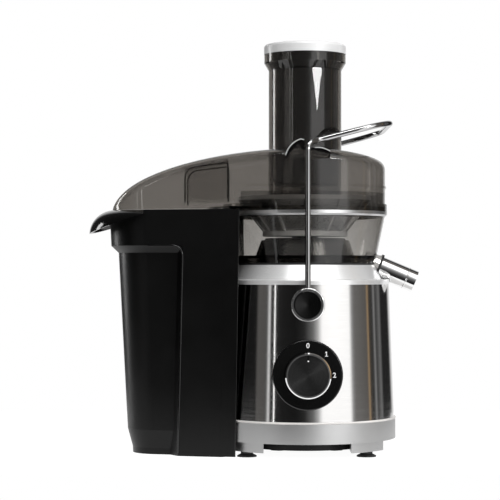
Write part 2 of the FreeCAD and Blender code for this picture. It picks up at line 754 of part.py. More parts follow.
def build_tower():
    keep(turned("drive_tower", [
        (d.tower_foot - d.tower_wall, flange_low),
        (tower_flange, flange_low),
        (tower_flange, wrap_top),
        (d.tower_foot, wrap_top),
        (d.tower_foot, knee),
        (d.tower_head, tower_top),
        (d.seal_radius, tower_top),
        (d.seal_radius, tower_top - d.tower_roof),
        (d.tower_head - d.tower_wall, tower_top - d.tower_roof),
        (d.tower_foot - d.tower_wall, knee),
    ]), "drive_tower")
    keep(ring("shaft_seal", d.shaft_radius + d.slide_gap, d.seal_radius, tower_top - d.tower_roof, tower_top),
         "shaft_seal")


def columns(name, low, high):
    return [cylinder(name, d.column_radius, low, high, *on_circle(d.column_circle, a)) for a in QUARTERS]


def build_motor():
    bore = d.shaft_radius + d.fit_gap
    hub = d.bearing_radius + d.bracket_hub
    for name, low, top, radius in (
        ("upper", upper_low, upper_top, tower_flange - d.bracket_inset),
        ("lower", lower_low, lower_top, d.stator_radius),
    ):
        plate = turned(name + "_plate", [
            (d.bearing_radius, low - d.hub_depth),
            (hub, low - d.hub_depth),
            (hub, low),
            (radius, low),
            (radius, top),
            (d.bearing_radius, top),
        ])
        foot, head = (stator_top, low) if name == "upper" else (top, stator_low)
        posts = columns(name + "_post", foot, head)
        keep(fused(name + "_motor_bracket", plate, *posts), name + "_motor_bracket")
        keep(ring(name + "_bearing", bore, d.bearing_radius, low - d.hub_depth, top), name + "_bearing")
    mounts = (d.tower_foot - d.tower_wall + tower_flange) / 2
    dampers = [cylinder("damper", d.damper_radius, upper_top, flange_low, *on_circle(mounts, a))
               for a in QUARTERS]
    group = doc.addObject("Part::Compound", "motor_dampers")
    group.Links = dampers
    keep(group, "motor_dampers")
    keep(ring("motor_stator", d.stator_bore, d.stator_radius, stator_low, stator_top), "motor_stator")
    coils = doc.addObject("Part::Compound", "field_coils")
    coils.Links = [ring("upper_coil", d.coil_inner, d.coil_outer, stator_top, stator_top + d.coil_height),
                   ring("lower_coil", d.coil_inner, d.coil_outer, stator_low - d.coil_height, stator_low)]
    keep(coils, "field_coils")
    near = d.commutator_radius + d.slide_gap
    holders = doc.addObject("Part::Compound", "brush_holders")
    half = d.brush_width / 2
    high = lower_top + d.brush_height
    holders.Links = [block("right_brush", (near, near + d.brush_length), (-half, half), (lower_top, high)),
                     block("left_brush", (-near - d.brush_length, -near), (-half, half), (lower_top, high))]
    keep(holders, "brush_holders")


def build_rotor():
    core = d.stator_bore - d.air_gap
    bore = d.shaft_radius + d.fit_gap
    shaft_top = tower_top + d.slide_gap + d.coupling_height
    keep(cylinder("motor_shaft", d.shaft_radius, shaft_low, shaft_top), "motor_shaft", 0.0, 0.0, shaft_low)
    keep(ring("armature", bore, core, stator_low, stator_top), "armature")
    windings = doc.addObject("Part::Compound", "armature_windings")
    windings.Links = [
        ring("upper_winding", bore, d.winding_radius, stator_top, stator_top + d.winding_height),
        ring("lower_winding", bore, d.winding_radius, stator_low - d.winding_height, stator_low),
    ]
    keep(windings, "armature_windings")
    bars_top = stator_low - d.winding_height
    bars_low = bars_top - d.commutator_height
    keep(ring("commutator", bore, d.commutator_radius, bars_low, bars_top), "commutator")
    disc_low = fan_top - d.fan_plate
    hub = ring("fan_hub", bore, d.fan_hub, shaft_low, disc_low)
    disc = ring("fan_disc", bore, fan_radius, disc_low, fan_top)
    blade = block("fan_blade", (d.fan_hub - d.fan_plate, fan_radius - d.fan_plate),
                  (-d.fan_plate / 2, d.fan_plate / 2), (shaft_low + d.fan_plate, disc_low))
    blades = [spun(blade, 360 * i / FAN_BLADES) for i in range(FAN_BLADES)]
    keep(fused("cooling_fan", hub, disc, *blades), "cooling_fan")


def build_controls():
    gap = d.spindle_radius + d.slide_gap
    edge = d.bezel_radius - d.bezel_round
    bezel = turned("dial_bezel", [
        (gap, bezel_face - d.bezel_wall),
        (d.bezel_radius - d.bezel_wall, bezel_face - d.bezel_wall),
        (d.bezel_radius - d.bezel_wall, bezel_face - d.bezel_depth),
        (d.bezel_radius, bezel_face - d.bezel_depth),
        (d.bezel_radius, bezel_face - d.bezel_round, d.bezel_round),
        (edge, bezel_face),
        (gap, bezel_face),
    ])
    keep(bezel, "dial_bezel", 0.0, 0.0, dial_z, FRONT)
    socket = d.spindle_radius + d.fit_gap
    grip_end = knob_back + d.spindle_grip
    keep(turned("dial_knob", [
        (socket, knob_back),
        (d.knob_radius, knob_back),
        (d.knob_head, knob_seat),
        (0.0, knob_seat),
        (0.0, grip_end),
        (socket, grip_end),
    ]), "dial_knob", 0.0, 0.0, dial_z, FRONT)
    keep(turned("dial_rim", [
        (d.rim_inner, knob_seat),
        (d.knob_head, knob_seat),
        (d.knob_head, knob_seat + d.rim_height - d.rim_chamfer),
        (d.knob_head - d.rim_chamfer, knob_seat + d.rim_height),
        (d.rim_inner, knob_seat + d.rim_height),
    ]), "dial_rim", 0.0, 0.0, dial_z, FRONT)
    keep(turned("dial_face", [(0.0, knob_seat), (d.rim_inner - d.fit_gap, knob_seat),
                              (d.rim_inner - d.fit_gap, knob_seat + d.face_height),
                              (0.0, knob_seat + d.face_height)]), "dial_face", 0.0, 0.0, dial_z, FRONT)
    switch_front = bezel_face - d.bezel_wall
    spindle_low = switch_front - d.switch_depth + d.bezel_wall
    spindle = turned("dial_spindle", [(0.0, spindle_low), (d.spindle_radius, spindle_low),
                                      (d.spindle_radius, grip_end), (0.0, grip_end)])
    keep(spindle, "dial_spindle", 0.0, 0.0, dial_z, FRONT)
    half = d.switch_half
    case = block("switch_case", (-half, half), (-switch_front, d.switch_depth - switch_front),
                 (dial_z - half, dial_z + half))
    shaft_hole = rod("switch_hole", socket, spindle_low, bezel_face, dial_z, FRONT)
    keep(cut("rotary_switch", case, shaft_hole), "rotary_switch")


def build_pivots():
    flange_high = boss_end - d.boss_length
    flange_back = flange_high - d.boss_flange_height
    pin_end = hub_face - d.slide_gap
    boss = [
        (0.0, flange_back),
        (d.boss_flange, flange_back),
        (d.boss_flange, flange_high),
        (d.boss_radius, flange_high),
        (d.boss_radius, boss_end),
        (d.pin_radius, boss_end),
        (d.pin_radius, pin_end),
        (0.0, pin_end),
    ]
    bore = d.pin_radius + d.fit_gap
    edge = d.hub_radius - d.hub_round
    hub = [
        (bore, hub_back),
        (d.hub_radius, hub_back),
        (d.hub_radius, hub_face - d.hub_round, d.hub_round),
        (edge, hub_face),
        (bore, hub_face),
    ]
    cap_edge = d.cap_disc_radius - d.cap_disc_dish
    cap = [
        (0.0, hub_face),
        (d.cap_disc_radius, hub_face),
        (d.cap_disc_radius, hub_face + d.cap_disc_height - d.cap_disc_dish, d.cap_disc_dish),
        (cap_edge, hub_face + d.cap_disc_height),
        (0.0, hub_face + d.cap_disc_height - d.cap_disc_dish),
    ]
    for side, turn in (("front", FRONT), ("rear", REAR)):
        keep(turned(f"pivot_boss_{side}", boss), f"pivot_boss_{side}", 0.0, 0.0, pivot_z, turn)
        blank = turned(f"hub_blank_{side}", hub)
        place(blank, 0.0, 0.0, pivot_z, turn)
        depth = -arm_plane if side == "front" else arm_plane
        hole = cylinder("wire_hole", d.wire_radius + d.fit_gap, pivot_z + d.wire_seat,
                        pivot_z + d.hub_radius + d.hub_round, 0.0, depth)
        keep(cut(f"arm_hub_{side}", blank, hole), f"arm_hub_{side}")
        keep(turned(f"hub_cap_{side}", cap), f"hub_cap_{side}", 0.0, 0.0, pivot_z, turn)
    half = d.interlock_half
    keep(block("interlock_switch", (-half, half), (-flange_back, d.interlock_depth - flange_back),
               (pivot_z - half, pivot_z + half)), "interlock_switch",
         -half, -flange_back, pivot_z - half)


def bent_wire(corners, bends, radius):
    """A round wire along straight runs, with an arc of the given radius at each inner corner."""
    edges = []
    last = corners[0]
    for before, corner, after, bend in zip(corners, corners[1:], corners[2:], bends):
        inward = (before - corner).normalize()
        outward = (after - corner).normalize()
        half = inward.getAngle(outward) / 2
        setback = bend / math.tan(half)
        middle = (inward + outward).normalize()
        start = corner + inward * setback
        end = corner + outward * setback
        top = corner + middle * (bend / math.sin(half) - bend)
        edges.append(Part.LineSegment(last, start).toShape())
        edges.append(Part.Arc(start, top, end).toShape())
        last = end
    edges.append(Part.LineSegment(last, corners[-1]).toShape())
    heading = corners[1] - corners[0]
    section = Part.Wire(Part.Circle(corners[0], heading, radius).toShape())
    return Part.Wire(edges).makePipeShell([section], True, False)


def build_arm():
    side = number(arm_plane)
    foot = number(pivot_z + d.wire_seat)
    top = number(rim_top + d.arm_rise)
    jog = Vector(number(d.jog_reach), number(d.jog_inward) - side, top + number(d.jog_rise))
    half = [
        Vector(0, -side, foot),
        Vector(0, -side, top),
        jog,
        Vector(number(d.grip_reach), jog.y, jog.z + number(d.grip_rise)),
    ]
    corners = half + [Vector(p.x, -p.y, p.z) for p in reversed(half)]
    bends = [number(b) for b in (d.arm_bend, d.jog_bend, d.grip_bend)]
    wire = bent_wire(corners, bends + bends[::-1], number(d.wire_radius))
    keep(shaped("lock_arm", wire), "lock_arm")


def build_bowl():
    seat = ring("gasket_ring", well_radius + d.skin_gap, cone_head, collar_top, bowl_low)
    keep(cut("bowl_gasket", seat, *spout_notch("gasket", bowl_low)), "bowl_gasket")
    wall = d.bowl_wall
    rise = (bowl_head - bowl_foot) / (d.bowl_height - d.bowl_rim_height)
    lean = (d.tower_foot - d.tower_head) / (tower_top - knee)
    dam_top = tower_top - d.dam_drop
    floor_low = floor_top - wall
    dam_foot = d.tower_head + d.dam_gap + lean * (tower_top - floor_low)
    dam_head = d.tower_head + d.dam_gap + lean * d.dam_drop
    rim_low = rim_top - d.bowl_rim_height
    skirt = well_radius - d.skirt_gap
    skirt_low = ledge_top + d.slide_gap
    blank = turned("bowl_blank", [
        (skirt - wall, skirt_low),
        (skirt, skirt_low),
        (skirt, bowl_low),
        (bowl_foot, bowl_low),
        (bowl_head, rim_low),
        (bowl_rim, rim_low),
        (bowl_rim, rim_top),
        (bowl_head - wall, rim_top),
        (bowl_foot + rise * d.floor_rise - wall, floor_top),
        (dam_foot + wall, floor_top),
        (dam_head + wall, dam_top),
        (dam_head, dam_top),
        (dam_foot, floor_low),
        (skirt - wall, floor_low),
    ])
    start = nozzle_end + d.nozzle_depth
    pipe = slanted("nozzle_pipe", nozzle_radius, start, nozzle_end)
    under = block("nozzle_limit", (d.tower_head, ledge_radius), (-nozzle_radius, nozzle_radius),
                  (wrap_top, floor_top))
    nozzle = doc.addObject("Part::MultiCommon", "nozzle")
    nozzle.Shapes = [pipe, under]
    socket = slanted("spout_socket", d.spout_radius, d.spout_length, nozzle_end - d.nozzle_wall)
    drain = slanted("drain", d.spout_radius - d.spout_sheet, start, nozzle_end)
    keep(cut("juice_bowl", fused("bowl_body", blank, nozzle), socket, drain), "juice_bowl")

    bead = d.spout_length - d.spout_bead_place
    out = d.spout_radius + d.spout_bead
    tube = turned("spout", [
        (d.spout_radius - d.spout_sheet, 0.0),
        (d.spout_radius, 0.0),
        (d.spout_radius, bead),
        (out, bead + d.spout_bead),
        (out, bead + d.spout_bead_width),
        (d.spout_radius, bead + d.spout_bead_width + d.spout_bead),
        (d.spout_radius, d.spout_length),
        (d.spout_radius - d.spout_sheet, d.spout_length),
    ])
    seal = ring("spout_seal", d.spout_radius + d.fit_gap, nozzle_radius, 0.0, d.spout_seal_width)
    for thing, start in ((tube, d.spout_length), (seal, nozzle_end)):
        nodes.append(along_spout(thing, start, d.axis_x))
        thing.Label = thing.Name


def build_basket():
    hub_low = tower_top + d.basket_lift
    hub_top = hub_low + d.basket_floor
    boss_top = hub_top + d.basket_boss_height
    hex_low = tower_top + d.slide_gap
    bore = cylinder("coupling_bore", d.shaft_radius + d.fit_gap, hex_low, hex_low + d.coupling_height)
    coupling = doc.addObject("Part::Prism", "coupling_blank")
    coupling.Polygon = 6
    bind(coupling, "Circumradius", d.coupling_radius)
    bind(coupling, "Height", d.coupling_height)
    place(coupling, 0.0, 0.0, hex_low)
    keep(cut("drive_coupling", coupling, bore), "drive_coupling")

    socket = doc.addObject("Part::Prism", "hub_socket")
    socket.Polygon = 6
    bind(socket, "Circumradius", d.coupling_radius + d.fit_gap)
    bind(socket, "Height", d.coupling_height)
    place(socket, 0.0, 0.0, hex_low)
    plate = turned("hub_plate", [(0.0, hub_low), (d.tower_head, hub_low), (d.tower_head, hub_top),
                                 (d.basket_boss, hub_top), (d.basket_boss, boss_top), (0.0, boss_top)])
    keep(cut("basket_hub", plate, socket), "basket_hub")

    sheet = d.basket_sheet
    cone_top = hub_top + d.basket_height
    keep(turned("filter_basket", [(d.tower_head - sheet, hub_top), (d.tower_head, hub_top),
                                  (basket_head, cone_top), (basket_head - sheet, cone_top)]),
         "filter_basket")

    foot = d.tower_head + d.skin_gap
    head = basket_head + d.skin_gap
    thick = d.frame_ring
    low_ring = ring("frame_low_ring", foot, foot + thick, hub_low, hub_top)
    top_ring = turned("frame_top_ring", [
        (basket_head - sheet, cone_top),
        (head + thick, cone_top),
        (head + thick, cone_top + d.frame_top),
        (head, cone_top + d.frame_top),
    ])
    rib = padded("frame_rib", "XZ_Plane", [(foot, hub_low), (foot + thick, hub_low), (foot + thick, hub_top),
                                           (head + thick, cone_top), (head, cone_top), (foot, hub_top)],
                 d.rib_width)
    ribs = [spun(rib, 360 * i / RIB_COUNT) for i in range(RIB_COUNT)]
    keep(fused("basket_frame", low_ring, top_ring, *ribs), "basket_frame")

    build_grater(hub_top)


def build_grater(seat):
    """The domed cutting disc, with rings of small raised teeth."""
    sheet = d.grater_sheet
    rise = d.grater_rise
    bulb = (d.grater_radius * d.grater_radius + rise * rise) / (2 * rise)
    inner = d.grater_radius - sheet
    inner_rise = rise - sheet
    hollow = (inner * inner + inner_rise * inner_rise) / (2 * inner_rise)
    dome = turned("grater_dome", [(inner, seat), (d.grater_radius, seat, bulb), (0.0, seat + rise),
                                  (0.0, seat + inner_rise, -hollow)])
    teeth = []
    for place_out in range(TOOTH_RINGS):
        radius = number(d.tooth_first + d.tooth_pitch * place_out)
        count = FIRST_TEETH * (place_out + 1)
        drop = bulb.value - math.sqrt(bulb.value ** 2 - radius ** 2)
        tilt = math.degrees(math.asin(radius / bulb.value))
        for i in range(count):
            tooth = doc.addObject("Part::Wedge", "tooth")
            half = d.tooth_width / 2
            edge = d.tooth_edge / 2
            for prop, amount in (("Xmin", -half), ("Xmax", half), ("Zmin", -d.tooth_length / 2),
                                 ("Zmax", d.tooth_length / 2), ("Ymin", -sheet / 2), ("Ymax", d.tooth_height),
                                 ("X2min", -edge), ("X2max", edge),
                                 ("Z2min", d.tooth_length / 2 - d.tooth_land), ("Z2max", d.tooth_length / 2)):
                bind(tooth, prop, amount)
            turn = Rotation(Vector(0, 0, 1), 360 * i / count)
            stand = Rotation(Vector(0, 1, 0), tilt) * Rotation(Vector(1, 0, 0), 90)
            spot = turn.multVec(Vector(radius, 0, 0))
            place(tooth, spot.x, spot.y, seat + rise - drop, turn * stand)
            teeth.append(tooth)
    keep(fused("grater_disc", dome, *teeth), "grater_disc")


def teardrop(radius, reach, inset, height):
    """A closed wire round two circles: one on the motor axis and a smaller one to its left."""
    narrow = number(d.duct_narrow)
    big = radius - inset
    small = radius - reach * narrow - inset
    turn = math.acos(-narrow)
    level = Vector(0, 0, height)
    out = Vector(math.cos(turn), math.sin(turn), 0)
    back = Vector(out.x, -out.y, 0)
    end = Vector(-reach, 0, height)
    edges = [
        Part.Arc(level + back * big, level + Vector(big, 0, 0), level + out * big),
        Part.LineSegment(level + out * big, end + out * small),
        Part.Arc(end + out * small, end - Vector(small, 0, 0), end + back * small),
        Part.LineSegment(end + back * small, level + back * big),
    ]
    return Part.Wire([edge.toShape() for edge in edges])


def lid_blank(inset):
    """The outside of the lid, or with an inset its inside: a teardrop under a rounded roof."""
    top = number(crown) - inset
    base = number(crown - d.dome_height)
    plan = Part.Face(teardrop(number(bowl_head), number(d.duct_reach), inset, base))
    wall = plan.extrude(Vector(0, 0, top))
    long_axis = number(dome_reach) - inset
    ellipse = Part.Ellipse(Vector(0, 0, base), long_axis, top - base)
    ellipse.Axis = Vector(0, -1, 0)
    ellipse.XAxis = Vector(1, 0, 0)
    slope = Part.ArcOfEllipse(ellipse, math.pi / 2, math.pi)
    radius = number(d.crown_radius) - inset
    right = number(band_radius)
    fall = radius - math.sqrt(radius * radius - right * right)
    half_fall = radius - math.sqrt(radius * radius - right * right / 4)
    peak = Vector(0, 0, top)
    edge = Vector(right, 0, top - fall)
    roof_arc = Part.Arc(peak, Vector(right / 2, 0, top - half_fall), edge)
    corner = Vector(right, 0, base)
    tail = Vector(-long_axis, 0, base)
    lines = [slope, roof_arc, Part.LineSegment(edge, corner), Part.LineSegment(corner, tail)]
    profile = Part.Face(Part.Wire([line.toShape() for line in lines]))
    side = number(band_radius)
    profile.translate(Vector(0, -side, 0))
    blank = wall.common(profile.extrude(Vector(0, 2 * side, 0)))
    brow = [e for e in blank.Edges
            if e.BoundBox.XLength > number(d.lid_wall) and e.BoundBox.ZMin > base + number(d.lid_wall)]
    return blank.makeFillet(number(d.shoulder_round) - inset, brow)


lug_foot = rim_top + d.lug_low
lug_peak = rim_top + d.lug_high
lug_flat = rim_top + d.arm_rise - d.wire_radius - 2 * d.lug_pass


def lug_outline():
    """Corners of a lock lug: a tall rounded half and a low half that the wire passes over."""
    low, high, flat = lug_foot, lug_peak, lug_flat
    return [
        (d.lug_half, low),
        (d.lug_half, flat - d.lug_notch, d.lug_half),
        (d.lug_apex, flat),
        (-d.lug_notch, flat),
        (-d.lug_notch, high - d.lug_pass),
        (-d.lug_apex, high, d.lug_half),
        (-d.lug_half, low),
    ]


def lug_hollow():
    """Corners of the hollow in a lug, open below and towards the chute."""
    wall = d.lug_wall
    return [
        (d.lug_half - wall, lug_foot - wall),
        (d.lug_half - wall, lug_flat - d.lug_notch - wall),
        (d.lug_apex, lug_flat - wall),
        (-d.lug_notch - wall, lug_flat - wall),
        (-d.lug_apex - wall, lug_peak - 2 * wall),
        (wall - d.lug_half, lug_foot + wall),
        (wall - d.lug_half, lug_foot - wall),
    ]


def build_lid():
    wall = number(d.lid_wall)
    hollow = lid_blank(wall)
    shell = lid_blank(0.0).cut(hollow)
    low = number(duct_low)
    reach = number(dome_reach)
    side = number(band_radius)
    skirt = Part.makeBox(2 * reach, 2 * side, low, Vector(-reach, -side, 0))
    cover = shaped("lid_shell", shell.cut(skirt))

    apron_plan = Part.Face(teardrop(number(bowl_head), number(d.duct_reach), 0.0, low))
    apron_disc = Part.makeCylinder(number(d.ring_radius + d.bin_gap + d.apron_over), wall, Vector(0, 0, low))
    apron = shaped("lid_apron", apron_plan.extrude(Vector(0, 0, wall)).common(apron_disc))

    ridge_low = Vector(-number(d.ridge_start), -side, number(rim_top + d.ridge_rise))
    ridge_slab = Part.makeBox(number(d.ridge_start) + side, 2 * side, number(d.ridge_height), ridge_low)
    ridge = shaped("lid_ridge", lid_blank(-number(d.ridge_proud)).cut(hollow).common(ridge_slab))

    guides = []
    guide_low = low + wall + number(d.guide_rise)
    guide_length = number(d.guide_start - d.guide_end)
    for name, direction in (("front_guide", -1), ("rear_guide", 1)):
        middle = direction * number(d.guide_place)
        start = Vector(-number(d.guide_start), middle - number(d.guide_wall) / 2, guide_low)
        plate = Part.makeBox(guide_length, number(d.guide_wall), number(crown) - guide_low, start)
        guides.append(shaped(name, plate.common(lid_blank(wall / 2))))

    band_top = rim_top + d.band_height
    band = turned("lid_band", [
        (spigot_inner, rim_top - d.spigot_depth),
        (spigot_radius, rim_top - d.spigot_depth),
        (spigot_radius, rim_top),
        (band_radius, rim_top),
        (band_radius, band_top),
        (bowl_head - d.lid_wall / 2, band_top),
        (bowl_head - d.lid_wall / 2, duct_low + d.lid_wall),
        (spigot_inner, duct_low + d.lid_wall),
    ])
    bore = d.chute_radius - d.chute_wall
    band_low = mouth_top - d.mouth_height
    chute = turned("lid_chute", [
        (bore, rim_top + d.chute_low),
        (d.chute_radius, rim_top + d.chute_low),
        (d.chute_radius, band_low - d.mouth_flare),
        (d.mouth_radius, band_low),
        (d.mouth_radius, mouth_top),
        (d.mouth_radius - d.chute_wall, mouth_top),
        (d.mouth_radius - d.chute_wall, band_low),
        (bore, band_low - d.mouth_flare),
    ])
    lug_tip = arm_plane - d.wire_radius - d.lug_gap
    lugs = []
    for name, direction in (("front_lug", -1), ("rear_lug", 1)):
        fin = padded(name, "XZ_Plane", lug_outline(), d.lug_span)
        place(fin, 0.0, direction * (lug_tip - d.lug_span / 2))
        room = padded(name + "_room", "XZ_Plane", lug_hollow(), d.lug_span - d.lug_wall)
        place(room, 0.0, direction * (lug_tip - (d.lug_span + d.lug_wall) / 2))
        lugs.append(cut(name + "_hood", fin, room))
    opening = cylinder("chute_opening", bore, rim_top, mouth_top)
    whole = cut("lid_moulding", fused("lid_body", cover, apron, band, chute, ridge, *guides, *lugs), opening)
    clear = cylinder("basket_space", spigot_inner, rim_top - d.lid_wall, duct_low + d.lid_wall)
    keep(cut("lid", whole, clear), "lid")


def build_pusher():
    out = d.chute_radius - d.chute_wall - d.slide_gap
    inside = out - d.pusher_wall
    foot = rim_top + d.pusher_low
    head = d.mouth_radius - d.chute_wall - d.slide_gap
    shoulder = mouth_top - d.mouth_height - d.mouth_flare + d.slide_gap
    keep(turned("pusher_body", [
        (0.0, foot),
        (out - d.pusher_round, foot, d.pusher_round),
        (out, foot + d.pusher_round),
        (out, shoulder),
        (head, shoulder + d.mouth_flare),
        (head, mouth_top),
        (inside, mouth_top),
        (inside, foot + d.pusher_wall),
        (0.0, foot + d.pusher_wall),
    ]), "pusher_body")
    plug = inside - d.fit_gap
    top = mouth_top + d.cap_height
    keep(turned("pusher_cap", [
        (0.0, mouth_top - d.cap_plug),
        (plug, mouth_top - d.cap_plug),
        (plug, mouth_top),
        (d.cap_radius, mouth_top),
        (d.cap_radius, top - d.cap_round, d.cap_round),
        (d.cap_radius - d.cap_round, top),
        (0.0, top),
    ]), "pusher_cap")


def bin_section(height, inset):
    """The bin's teardrop outline at a height, drawn in by an inset."""
    share = height / number(bin_top)
    radius = number(bin_radius) - (1 - share) * number(d.bin_taper)
    reach = number(bin_reach) - (1 - share) * number(d.bin_end_taper)
    return teardrop(radius, reach, inset, height)


def bin_blank(inset):
    """The bin's outside, or with an inset its inside: a band, a recessed lower end and a full-width side."""
    top = number(bin_top)
    step = number(d.grip_depth)
    toe = number(d.bin_toe_depth)
    shelf = top - number(d.grip_band)
    levels = [
        (0.0, step + toe),
        (number(d.bin_toe_band), step + toe),
        (number(d.bin_toe_height), step),
        (shelf - step, step),
        (shelf, 0.0),
        (top, 0.0),
    ]
    lower_end = Part.makeLoft([bin_section(z, draw + inset) for z, draw in levels], True, True)
    full = Part.makeLoft([bin_section(0.0, inset), bin_section(top, inset)], True, True)
    slant = math.pi / 4 + math.asin(number(d.duct_narrow))
    start = number(bin_reach - d.grip_back) - inset
    side = number(bin_radius)
    run = side / math.tan(slant)
    front = number(bin_radius) * math.cos(math.asin(number(d.duct_narrow)))
    narrow_at = front - start * number(d.duct_narrow)
    lead = start - (side - narrow_at) / math.tan(slant)
    corners = [(side, -side), (-lead, -side), (-lead - run, 0), (-lead, side), (side, side)]
    plan = Part.makePolygon([Vector(x, y, 0) for x, y in corners + corners[:1]])
    flank = full.common(Part.Face(plan).extrude(Vector(0, 0, top)))
    body = lower_end.fuse(flank).removeSplitter()
    nest = number(d.ring_radius + d.bin_gap) + inset
    body = body.cut(Part.makeCylinder(nest, top, Vector()))
    corner_edges = [e for e in body.Edges
                    if e.BoundBox.ZLength > top / 2 and abs(e.CenterOfMass.y) > nest / 2
                    and e.CenterOfMass.x > -nest]
    return body.makeFillet(number(d.bin_round) - inset, corner_edges)


def build_bin():
    reach = number(dome_reach)
    side = number(d.ring_radius)
    hollow = bin_blank(number(d.bin_wall))
    under = Part.makeBox(2 * reach, 2 * side, number(d.bin_floor), Vector(-reach - side, -side, 0))
    keep(shaped("pulp_bin", bin_blank(0.0).cut(hollow.cut(under))), "pulp_bin")

    root = bin_radius - bin_reach * d.duct_narrow + d.fit_gap
    tip = root + d.lip_reach
    low = bin_top - d.lip_drop
    wall = d.lip_wall
    visor = turned("lip_blank", [
        (root, bin_top - wall, -d.lip_round),
        (tip - wall, low),
        (tip, low, d.lip_round + wall),
        (root, bin_top),
    ])
    place(visor, -bin_reach, 0.0, 0.0)
    span = number(tip)
    floor = doc.addObject("Part::Box", "lip_floor")
    floor.Length = 4 * span
    floor.Width = 4 * span
    floor.Height = 2 * span
    slope = Rotation(Vector(0, 1, 0), -number(d.lip_slope))
    corner = Vector(-number(bin_reach) - span, 0, number(low))
    floor.Placement = Placement(corner + slope.multVec(Vector(-span, -2 * span, -2 * span)), slope)
    ends = block("lip_ends", (-bin_reach - root * d.duct_narrow, bin_reach), (-tip, tip),
                 (low - tip, bin_top + tip))
    keep(cut("bin_lip", visor, floor, ends), "bin_lip")


def check_and_write():
    for thing in doc.Objects:
        if "Invalid" in thing.State or "Error" in thing.State:
            raise RuntimeError(f"{thing.Name} failed: {thing.State}")
    for thing in nodes:
        if thing.Shape.isNull() or not thing.Shape.isValid() or not thing.Shape.Solids:
            raise RuntimeError(f"{thing.Label} has no valid solid")
    os.makedirs("parts", exist_ok=True)
    for thing in nodes:
        thing.Shape.exportStep(f"parts/{thing.Label}.step")


build_feet()
build_base_ring()
build_bottom_cover()
build_housing()
build_collar()
build_tower()
build_motor()
build_rotor()
build_controls()
build_pivots()
build_arm()
build_bowl()
build_basket()
build_lid()
build_pusher()
build_bin()
doc.recompute()
check_and_write()
print(len(nodes), "pieces written")
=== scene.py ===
"""Looks of the centrifugal juicer: studio, finishes, printed marks and fine edges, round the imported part."""
import json
import math

import bmesh
import bpy
from mathutils import Matrix, Vector


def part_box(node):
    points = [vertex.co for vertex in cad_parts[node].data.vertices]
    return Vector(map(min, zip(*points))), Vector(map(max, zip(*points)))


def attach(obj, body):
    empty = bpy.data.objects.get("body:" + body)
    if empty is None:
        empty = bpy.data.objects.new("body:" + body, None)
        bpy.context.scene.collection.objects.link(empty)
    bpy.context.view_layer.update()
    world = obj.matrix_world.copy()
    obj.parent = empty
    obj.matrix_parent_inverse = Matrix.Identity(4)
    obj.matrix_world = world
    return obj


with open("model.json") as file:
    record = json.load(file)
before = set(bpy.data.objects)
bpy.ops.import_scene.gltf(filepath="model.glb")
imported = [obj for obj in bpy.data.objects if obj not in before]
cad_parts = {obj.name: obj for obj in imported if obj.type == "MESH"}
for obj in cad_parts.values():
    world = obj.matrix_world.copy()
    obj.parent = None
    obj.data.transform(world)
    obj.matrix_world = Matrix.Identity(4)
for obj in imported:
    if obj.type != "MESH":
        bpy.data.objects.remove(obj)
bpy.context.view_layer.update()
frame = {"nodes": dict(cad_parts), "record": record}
nodes = frame["nodes"]


def middle(node):
    """The middle of a node's box."""
    low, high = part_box(node)
    return (low + high) / 2


MM = 0.001
AXIS = Vector((middle("steel_wrap").x, 0, 0))
DIAL = middle("dial_face")

# Camera: where it stood, how much it took in at the motor axis and how far its middle lies above its level
CAMERA_SPOT = Vector((-0.0044, -1.8, 0.183))
PICTURE_SPAN = 0.5
PICTURE_RISE = 0.018
SENSOR = 36.0

# Studio light round the juicer: plain light for matt surfaces and its lean to the right, and what shiny
# ones mirror, by azimuth from the camera towards the right, in degrees: brightness and warmth
AMBIENT = 0.40
AMBIENT_LEAN = 0.55
ROOM_BANDS = [
    (-180, 0.90, 0),
    (-164, 0.85, 0),
    (-154, 0.04, 0),
    (-90, 0.010, 0),
    (-70, 0.014, 0),
    (-67, 0.13, 0.04),
    (-56, 0.11, 0.04),
    (-52.5, 0.10, 0),
    (-51.5, 0.95, 0),
    (-49, 0.95, 0),
    (-48, 0.02, 0),
    (-40.5, 0.020, 0),
    (-14, 0.012, 0),
    (-2, 0.03, 0),
    (9, 0.20, 0),
    (15, 0.60, 0),
    (21, 1.6, 0),
    (59, 1.6, 0),
    (63, 0.42, 0),
    (67, 0.20, 0.03),
    (89, 0.13, 0.06),
    (91, 0.40, 0.45),
    (93.5, 0.06, 0.10),
    (101, 0.05, 0),
    (104, 0.34, 0),
    (108, 0.05, 0),
    (117, 0.22, 0),
    (122, 0.025, 0),
    (146, 0.025, 0),
    (158, 0.85, 0),
]

# Lamps: azimuth and elevation in degrees, distance and size in metres, power in watts, roll in degrees and
# whether shiny surfaces mirror them. They aim at the motor axis, this far up
LAMP_AIM = 0.2
LAMPS = [
    ("key", 36, 28, 1.6, (0.75, 0.75), 18, 45, False),
    ("overhead", 5, 58, 1.5, (1.3, 0.3), 12, 0, True),
    ("fill", -58, 18, 1.8, (0.9, 0.9), 5, 0, False),
    ("strip", -41.5, 8, 1.8, (0.035, 1.1), 0.40, 0, True),
    ("side", -117, 8, 1.8, (0.30, 1.1), 6, 0, True),
]

# The card that the feed chute mirrors as a wedge: azimuth in degrees and height in metres of its corners
CHUTE_CARD = [(37, 0.472), (53, 0.556), (21, 0.556)]
CHUTE_CARD_STRENGTH = 22

# Floor: its own white and the share of it in what the camera, shiny surfaces and clear plastic see
FLOOR_GLOW = 1.2
FLOOR_SHARE = 0.8

# Shader sockets whose names hold capitals
SOCKETS = {"ior": "IOR", "specular_ior_level": "Specular IOR Level"}


